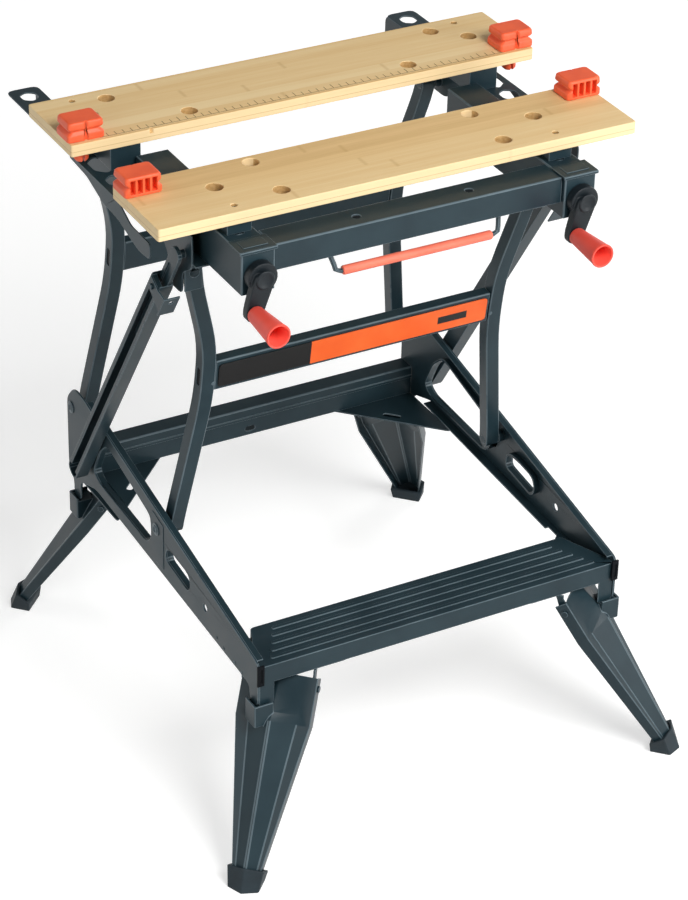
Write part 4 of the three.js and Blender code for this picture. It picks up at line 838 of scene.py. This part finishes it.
def latch_lever(side, sign):
    """A latch lever: a pressed arm with an eye for its pin, and a finger pad bent over at its end."""
    node = f"latch_lever_{side}"
    arm = at_latch((9, 9), (-9, 9), (-11, -12), (-13, -28), (15, -28), (9, -12))
    eye_radius, eye_steps = 3.8, 16
    turns = [2 * math.pi * i / eye_steps for i in range(eye_steps)]
    eye = at_latch(*((eye_radius * math.cos(a), eye_radius * math.sin(a)) for a in turns))
    pad = at_latch((-16, -30), (18, -30), (18, -28), (-16, -28))
    hole = lathe([(0, -6), (2.6, -6), (2.6, 6), (0, 6)], 16)
    aim = Vector((0, *STRUT_ACROSS)).to_track_quat("Z", "Y").to_matrix().to_4x4()
    moved(hole, (sign * 257 * MM, *at_latch((9, -29))[0]), aim)
    bent = carved(plate_shape([pad], sign * 247.6, sign * 268.0), [hole])
    parts = [side_plate([arm, eye], sign, 264.2, 266.2, 0.6), rounded_mesh(bent, COATS, 0.6)]
    stand_in(joined_mesh(parts), node)


def channel_lid(side, sign):
    """The folded lid on the front of a vise channel: its sheet, a rolled front lip, a raised panel."""
    middle = sign * CHANNEL_X
    parts = []
    # Each part: half its width, its depth, its height and its rounding.
    for half, y, z, edge in (
        (23, (-175.6, -146), (740.9, 742.6), 0.7),
        (23, (-177.4, -174.4), (738.6, 742.6), 1.4),
        (15, (-169, -152), (742.2, 743.4), 0.8),
    ):
        shape = block_shape((middle - half, middle + half), y, z)
        parts.append(rounded_mesh(shape, COATS, edge))
    finish_mesh(
        joined_mesh(parts), f"channel_lid_{side}", body_of(f"vise_channel_{side}"),
    )


def crossbar_tongues_painted_shade(end):
    """A crossbar's tongues: a near-black plate behind the slot in each leg's outer wall, painted shade
    in the slot.
    """
    middle = Vector(CROSSBAR_MIDDLE[end]) * MM
    lean = Vector(LEG_RUN).normalized()
    flat = Vector((lean.y, -lean.x))
    corners = [
        middle + lean * up * MM + flat * out * MM
        for up, out in ((-17, -7), (17, -7), (17, 7), (-17, 7))
    ]
    parts = [side_plate([corners], sign, 200.6, 202.0, 0.4, [DARK]) for sign in SIDES.values()]
    finish_mesh(
        joined_mesh(parts), f"crossbar_tongues_{end}", body_of(f"{end}_crossbar"),
    )


for side, sign in SIDES.items():
    pressed_beam(side, sign)
    strut_lips(side, sign)
    latch_lever(side, sign)
    channel_lid(side, sign)
    crank_knob(side)
    crank_boss(side, sign)
    end_plug(side, sign)
for end in ENDS:
    crossbar_tongues_painted_shade(end)
release_sleeve()
swivel_grips()


# Repeated pieces, grown by geometry nodes

def new_tree(name, sizes):
    """A geometry tree with named size inputs: the tree and the sockets of its Group Input."""
    tree = bpy.data.node_groups.new(name, "GeometryNodeTree")
    tree.interface.new_socket("Geometry", in_out="INPUT", socket_type="NodeSocketGeometry")
    for size, kind in sizes.items():
        tree.interface.new_socket(size, in_out="INPUT", socket_type=kind)
    tree.interface.new_socket("Geometry", in_out="OUTPUT", socket_type="NodeSocketGeometry")
    return tree, add(tree, "NodeGroupInput").outputs


def close_tree(tree, geometry, material):
    """End a geometry tree in real geometry with its material."""
    solid = add(tree, "GeometryNodeRealizeInstances", links={"Geometry": geometry})
    coated = add(
        tree, "GeometryNodeSetMaterial", {"Material": material},
        {"Geometry": solid.outputs["Geometry"]},
    )
    add(tree, "NodeGroupOutput", links={"Geometry": coated.outputs["Geometry"]})


def grown(tree, seed, sizes):
    """The plain mesh that a geometry tree grows from a seed mesh."""
    def grow(work):
        modifier = work.modifiers.new(tree.name, "NODES")
        modifier.node_group = tree
        for item in tree.interface.items_tree:
            if item.in_out == "INPUT" and item.name in sizes:
                modifier[item.identifier] = sizes[item.name]

    mesh = evaluated(seed, grow)
    mesh.shade_smooth()
    mesh.set_sharp_from_angle(angle=math.radians(40.0))
    return mesh


def rivet_tree(name, material):
    """Flat heads with a pressed ring, one on each point, along its axis and as wide as its head."""
    tree, sizes = new_tree(name, {"Rise": "NodeSocketFloat"})
    axis = add(
        tree, "GeometryNodeInputNamedAttribute", {"Name": "axis"}, data_type="FLOAT_VECTOR",
    )
    head = add(tree, "GeometryNodeInputNamedAttribute", {"Name": "head"}, data_type="FLOAT")
    turn = add(
        tree, "FunctionNodeAlignRotationToVector", links={"Vector": axis.outputs["Attribute"]},
        axis="Z",
    )
    double = add(tree, "ShaderNodeMath", {1: 2.0}, {0: sizes["Rise"]}, operation="MULTIPLY")
    disc = add(
        tree, "GeometryNodeMeshCylinder", {"Vertices": 32, "Radius": 1.0},
        {"Depth": double.outputs[0]},
    )
    ring_path = add(tree, "GeometryNodeCurvePrimitiveCircle", {"Resolution": 24, "Radius": 0.55})
    ring_wire = add(tree, "GeometryNodeCurvePrimitiveCircle", {"Resolution": 8, "Radius": 0.13})
    ring = add(
        tree, "GeometryNodeCurveToMesh",
        links={"Curve": ring_path.outputs["Curve"], "Profile Curve": ring_wire.outputs["Curve"]},
    )
    up = add(tree, "ShaderNodeCombineXYZ", links={"Z": sizes["Rise"]})
    raised = add(
        tree, "GeometryNodeTransform",
        links={"Geometry": ring.outputs["Mesh"], "Translation": up.outputs["Vector"]},
    )
    whole = add(tree, "GeometryNodeJoinGeometry", links={"Geometry": disc.outputs["Mesh"]})
    tree.links.new(raised.outputs["Geometry"], whole.inputs["Geometry"])
    heads = add(tree, "GeometryNodeInstanceOnPoints", links={
        "Points": sizes["Geometry"], "Instance": whole.outputs["Geometry"],
        "Rotation": turn.outputs["Rotation"], "Scale": head.outputs["Attribute"],
    })
    close_tree(tree, heads.outputs["Instances"], material)
    return tree


def point_mesh(heads):
    """Points for heads given as (place in mm, axis, head radius in mm)."""
    seed = bpy.data.meshes.new("rivet_points")
    seed.from_pydata([Vector(place) * MM for place, _, _ in heads], [], [])
    seed.attributes.new("axis", "FLOAT_VECTOR", "POINT")
    seed.attributes.new("head", "FLOAT", "POINT")
    for i, (_, axis, radius) in enumerate(heads):
        seed.attributes["axis"].data[i].vector = Vector(axis).normalized()
        seed.attributes["head"].data[i].value = radius * MM
    return seed


def rivets():
    """Rivet heads on the beams and legs, weld dimples near the step and screws in the jaws."""
    # Coated heads are drawn in the paler edge coat, a painted highlight on each head.
    coated = rivet_tree("coated_rivets", STEEL_EDGE_HIGHLIGHT)
    plated = rivet_tree("plated_screws", ZINC)
    # A head's rise as a share of its radius, and a jaw screw's radius.
    rise, screw_radius = 0.16, 3.4
    base, crossbar, front_jaw, rear_jaw = [], [], [], []
    for sign in SIDES.values():
        out, up = (sign, 0, 0), (0, 0, 1)
        base += [
            ((sign * 243.8, *FRONT_LEG_PIVOT), out, 8),
            ((sign * BEAM_FACE, *REAR_LEG_PIVOT), out, 8),
            ((sign * 251.6, *STRUT_FOOT_PIN), out, 6.5),
        ]
        base += [((sign * BEAM_FACE, *place), out, 2.2) for place in WELD_DIMPLES]
        # These heads lean with the legs.
        crossbar += [((sign * x, y, z), (0, -1, -0.15), 2.6) for x, y, z in CROSSBAR_RIVETS]
        for heads, (x, y, z) in ((front_jaw, FRONT_JAW_SCREW), (rear_jaw, REAR_JAW_SCREW)):
            heads.append(((sign * x, y, z), up, screw_radius))
    for name, body, slot, tree, heads in (
        ("base_rivets", "base", "powder_coated_steel", coated, base),
        ("crossbar_rivets", body_of("front_crossbar"), "powder_coated_steel", coated, crossbar),
        ("front_jaw_screws", body_of("front_jaw"), "bright_steel", plated, front_jaw),
        ("rear_jaw_screws", body_of("rear_jaw"), "bright_steel", plated, rear_jaw),
    ):
        finish_mesh(grown(tree, point_mesh(heads), {"Rise": rise}), name, body)


def ruler():
    """A printed scale along the rear jaw's front edge: a line with a tick every 10 mm."""
    tree, sizes = new_tree("printed_ticks", {
        "Count": "NodeSocketInt", "Pitch": "NodeSocketFloat", "Length": "NodeSocketFloat",
        "Width": "NodeSocketFloat", "Depth": "NodeSocketFloat",
    })
    step = add(tree, "ShaderNodeCombineXYZ", links={"X": sizes["Pitch"]})
    row = add(
        tree, "GeometryNodeMeshLine",
        links={"Count": sizes["Count"], "Offset": step.outputs["Vector"]},
    )
    bar = add(
        tree, "ShaderNodeCombineXYZ",
        links={"X": sizes["Width"], "Y": sizes["Length"], "Z": sizes["Depth"]},
    )
    tick = add(tree, "GeometryNodeMeshCube", links={"Size": bar.outputs["Vector"]})
    half = add(tree, "ShaderNodeMath", {1: 0.5}, {0: sizes["Length"]}, operation="MULTIPLY")
    away = add(tree, "ShaderNodeCombineXYZ", links={"Y": half.outputs[0]})
    stood = add(
        tree, "GeometryNodeTransform",
        links={"Geometry": tick.outputs["Mesh"], "Translation": away.outputs["Vector"]},
    )
    # Each fifth tick is a third longer.
    index = add(tree, "GeometryNodeInputIndex")
    place = add(tree, "ShaderNodeMath", {1: 5.0}, {0: index.outputs["Index"]}, operation="MODULO")
    fifth = add(tree, "ShaderNodeMath", {1: 0.5}, {0: place.outputs[0]}, operation="LESS_THAN")
    stretch = add(
        tree, "ShaderNodeMath", {1: 0.35, 2: 1.0}, {0: fifth.outputs[0]}, operation="MULTIPLY_ADD",
    )
    scale = add(
        tree, "ShaderNodeCombineXYZ", {"X": 1.0, "Z": 1.0}, {"Y": stretch.outputs[0]},
    )
    ticks = add(tree, "GeometryNodeInstanceOnPoints", links={
        "Points": row.outputs["Mesh"], "Instance": stood.outputs["Geometry"],
        "Scale": scale.outputs["Vector"],
    })
    close_tree(tree, ticks.outputs["Instances"], INK)

    count, pitch, start = 54, 10.0, -266.0
    length, width, depth = 7.5, 0.8, 0.1
    edge, top = jaw_low[1] / MM + 6.0, jaw_high[2] / MM + 0.04
    marks = grown(tree, bpy.data.meshes.new("ruler_seed"), {
        "Count": count, "Pitch": pitch * MM,
        "Length": length * MM, "Width": width * MM, "Depth": depth * MM,
    })
    marks.transform(Matrix.Translation(Vector((start, edge, top)) * MM))
    end = start + (count - 1) * pitch
    line = plain_mesh(
        block_shape((start - 0.35, end + 0.35), (edge - 0.7, edge), (top - 0.05, top + 0.05)), INK,
    )
    mesh = joined_mesh([line, marks])
    # The grown ticks count an empty slot before their ink; the joined mesh has the ink alone.
    for face in mesh.polygons:
        face.material_index = 0
    finish_mesh(mesh, "ruler", body_of("rear_jaw"))


def lead_screws():
    """Plated lead screws: a core with one ridge wound along it."""
    tree, sizes = new_tree("wound_thread", {
        "Turns": "NodeSocketFloat", "Length": "NodeSocketFloat", "Core": "NodeSocketFloat",
        "Ridge": "NodeSocketFloat",
    })
    wound = add(tree, "GeometryNodeCurveSpiral", {"Resolution": 14}, {
        "Rotations": sizes["Turns"], "Start Radius": sizes["Core"], "End Radius": sizes["Core"],
        "Height": sizes["Length"],
    })
    wire = add(
        tree, "GeometryNodeCurvePrimitiveCircle", {"Resolution": 4}, {"Radius": sizes["Ridge"]},
    )
    ridge = add(
        tree, "GeometryNodeCurveToMesh", {"Fill Caps": True},
        {"Curve": wound.outputs["Curve"], "Profile Curve": wire.outputs["Curve"]},
    )
    core = add(
        tree, "GeometryNodeMeshCylinder", {"Vertices": 24},
        {"Radius": sizes["Core"], "Depth": sizes["Length"]},
    )
    half = add(tree, "ShaderNodeMath", {1: 0.5}, {0: sizes["Length"]}, operation="MULTIPLY")
    up = add(tree, "ShaderNodeCombineXYZ", links={"Z": half.outputs[0]})
    stood = add(
        tree, "GeometryNodeTransform",
        links={"Geometry": core.outputs["Mesh"], "Translation": up.outputs["Vector"]},
    )
    whole = add(tree, "GeometryNodeJoinGeometry", links={"Geometry": ridge.outputs["Mesh"]})
    tree.links.new(stood.outputs["Geometry"], whole.inputs["Geometry"])
    close_tree(tree, whole.outputs["Geometry"], ZINC)

    # The ridge stands out by its own size, so the core is that much shorter and thinner.
    ridge_size = 1.3 * MM
    for side in SIDES:
        node = f"lead_screw_{side}"
        low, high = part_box(node)
        length = high[1] - low[1] - 2 * ridge_size
        mesh = grown(tree, bpy.data.meshes.new("screw_seed"), {
            "Turns": length / (THREAD_PITCH * MM), "Length": length,
            "Core": (high[0] - low[0]) / 2 - ridge_size, "Ridge": ridge_size,
        })
        start = Vector(((low[0] + high[0]) / 2, high[1] - ridge_size, (low[2] + high[2]) / 2))
        mesh.transform(Matrix.Translation(start) @ TO_FRONT)
        stand_in(mesh, node)


rivets()
ruler()
lead_screws()


# Stage

def paper_sweep():
    """A round sweep of matt white paper: a floor that keeps shadows, and a wall that glows white."""
    radius, wall_height = 14.0, 5.0
    sweep = bmesh.new()
    bmesh.ops.create_circle(sweep, cap_ends=True, segments=96, radius=radius)
    rim = [line for line in sweep.edges if line.is_boundary]
    wall = bmesh.ops.extrude_edge_only(sweep, edges=rim)["geom"]
    top = [point for point in wall if isinstance(point, bmesh.types.BMVert)]
    bmesh.ops.translate(sweep, verts=top, vec=(0, 0, wall_height))
    mesh = bpy.data.meshes.new("paper_sweep")
    sweep.to_mesh(mesh)
    sweep.free()
    floor = bpy.data.objects.new("floor", mesh)
    bpy.context.scene.collection.objects.link(floor)
    material, tree, coords, shader = new_material("matt_white_paper", 0.9, 0.1)
    shader.inputs["Base Color"].default_value = linear("#cfcfce")
    shader.inputs["Emission Color"].default_value = linear("#ffffff")
    path = add(tree, "ShaderNodeLightPath")
    seen = path.outputs["Is Camera Ray"]
    for ray in ("Is Glossy Ray", "Is Transmission Ray"):
        seen = add(
            tree, "ShaderNodeMath", links={0: seen, 1: path.outputs[ray]}, operation="MAXIMUM",
        ).outputs[0]
    # The paper is lit less away from the lamps, so its glow makes up for that with distance.
    distance = add(tree, "ShaderNodeVectorMath", links={0: coords}, operation="LENGTH")
    share = add(
        tree, "ShaderNodeMapRange",
        {"From Min": 0.8, "From Max": 5.0, "To Min": 0.56, "To Max": 1.0},
        {"Value": distance.outputs["Value"]},
    )
    glow = add(
        tree, "ShaderNodeMath", links={0: seen, 1: share.outputs["Result"]}, operation="MULTIPLY",
    )
    tree.links.new(glow.outputs[0], shader.inputs["Emission Strength"])
    mesh.materials.append(material)


def studio_light():
    """Soft lamps all round, and a dim surround so that tops stay darker than fronts."""
    world = bpy.data.worlds.new("studio_surround")
    bpy.context.scene.world = world
    world.use_nodes = True
    tree = world.node_tree
    tree.nodes.clear()
    surround = add(tree, "ShaderNodeBackground", {"Color": linear("#f2f5f8"), "Strength": 0.08})
    add(tree, "ShaderNodeOutputWorld", links={"Surface": surround.outputs["Background"]})

    target = Vector((0.0, 0.0, 0.4))
    for name, place, size, watts in (
        ("key_softbox", (0.3, -2.6, 3.0), 1.8, 117),
        ("left_fill_softbox", (-3.0, -1.8, 1.5), 1.6, 27),
        ("right_fill_softbox", (2.2, -2.9, 1.3), 1.6, 54),
        ("left_rear_softbox", (-2.8, 2.6, 2.0), 1.6, 24),
        ("right_rear_softbox", (3.2, 1.2, 2.0), 1.6, 28),
    ):
        lamp = bpy.data.lights.new(name, "AREA")
        lamp.shape = "DISK"
        lamp.size = size
        lamp.energy = watts
        holder = bpy.data.objects.new(name, lamp)
        holder.location = place
        holder.rotation_euler = (target - Vector(place)).to_track_quat("-Z", "Y").to_euler()
        bpy.context.scene.collection.objects.link(holder)


def viewpoint():
    """The camera, above the front left corner, placed by its position and three angles."""
    place = (-1.52925, -2.72546, 2.2761)
    yaw, pitch, roll = (math.radians(a) for a in (-29.38, -31.87, 1.5))
    forward = Vector((
        -math.sin(yaw) * math.cos(pitch), math.cos(yaw) * math.cos(pitch), math.sin(pitch),
    ))
    right = Vector((math.cos(yaw), math.sin(yaw), 0.0))
    up = right.cross(forward)
    tilted_right = right * math.cos(roll) + up * math.sin(roll)
    tilted_up = up * math.cos(roll) - right * math.sin(roll)
    turn = Matrix((tilted_right, tilted_up, -forward)).transposed()
    eye = bpy.data.cameras.new("viewpoint")
    eye.sensor_width = 36.0
    eye.sensor_fit = "AUTO"
    eye.lens = 120.72
    eye.clip_end = 60.0
    holder = bpy.data.objects.new("viewpoint", eye)
    holder.matrix_world = Matrix.Translation(place) @ turn.to_4x4()
    bpy.context.scene.collection.objects.link(holder)
    bpy.context.scene.camera = holder


paper_sweep()
studio_light()
viewpoint()
bpy.context.scene.view_settings.view_transform = "Standard"
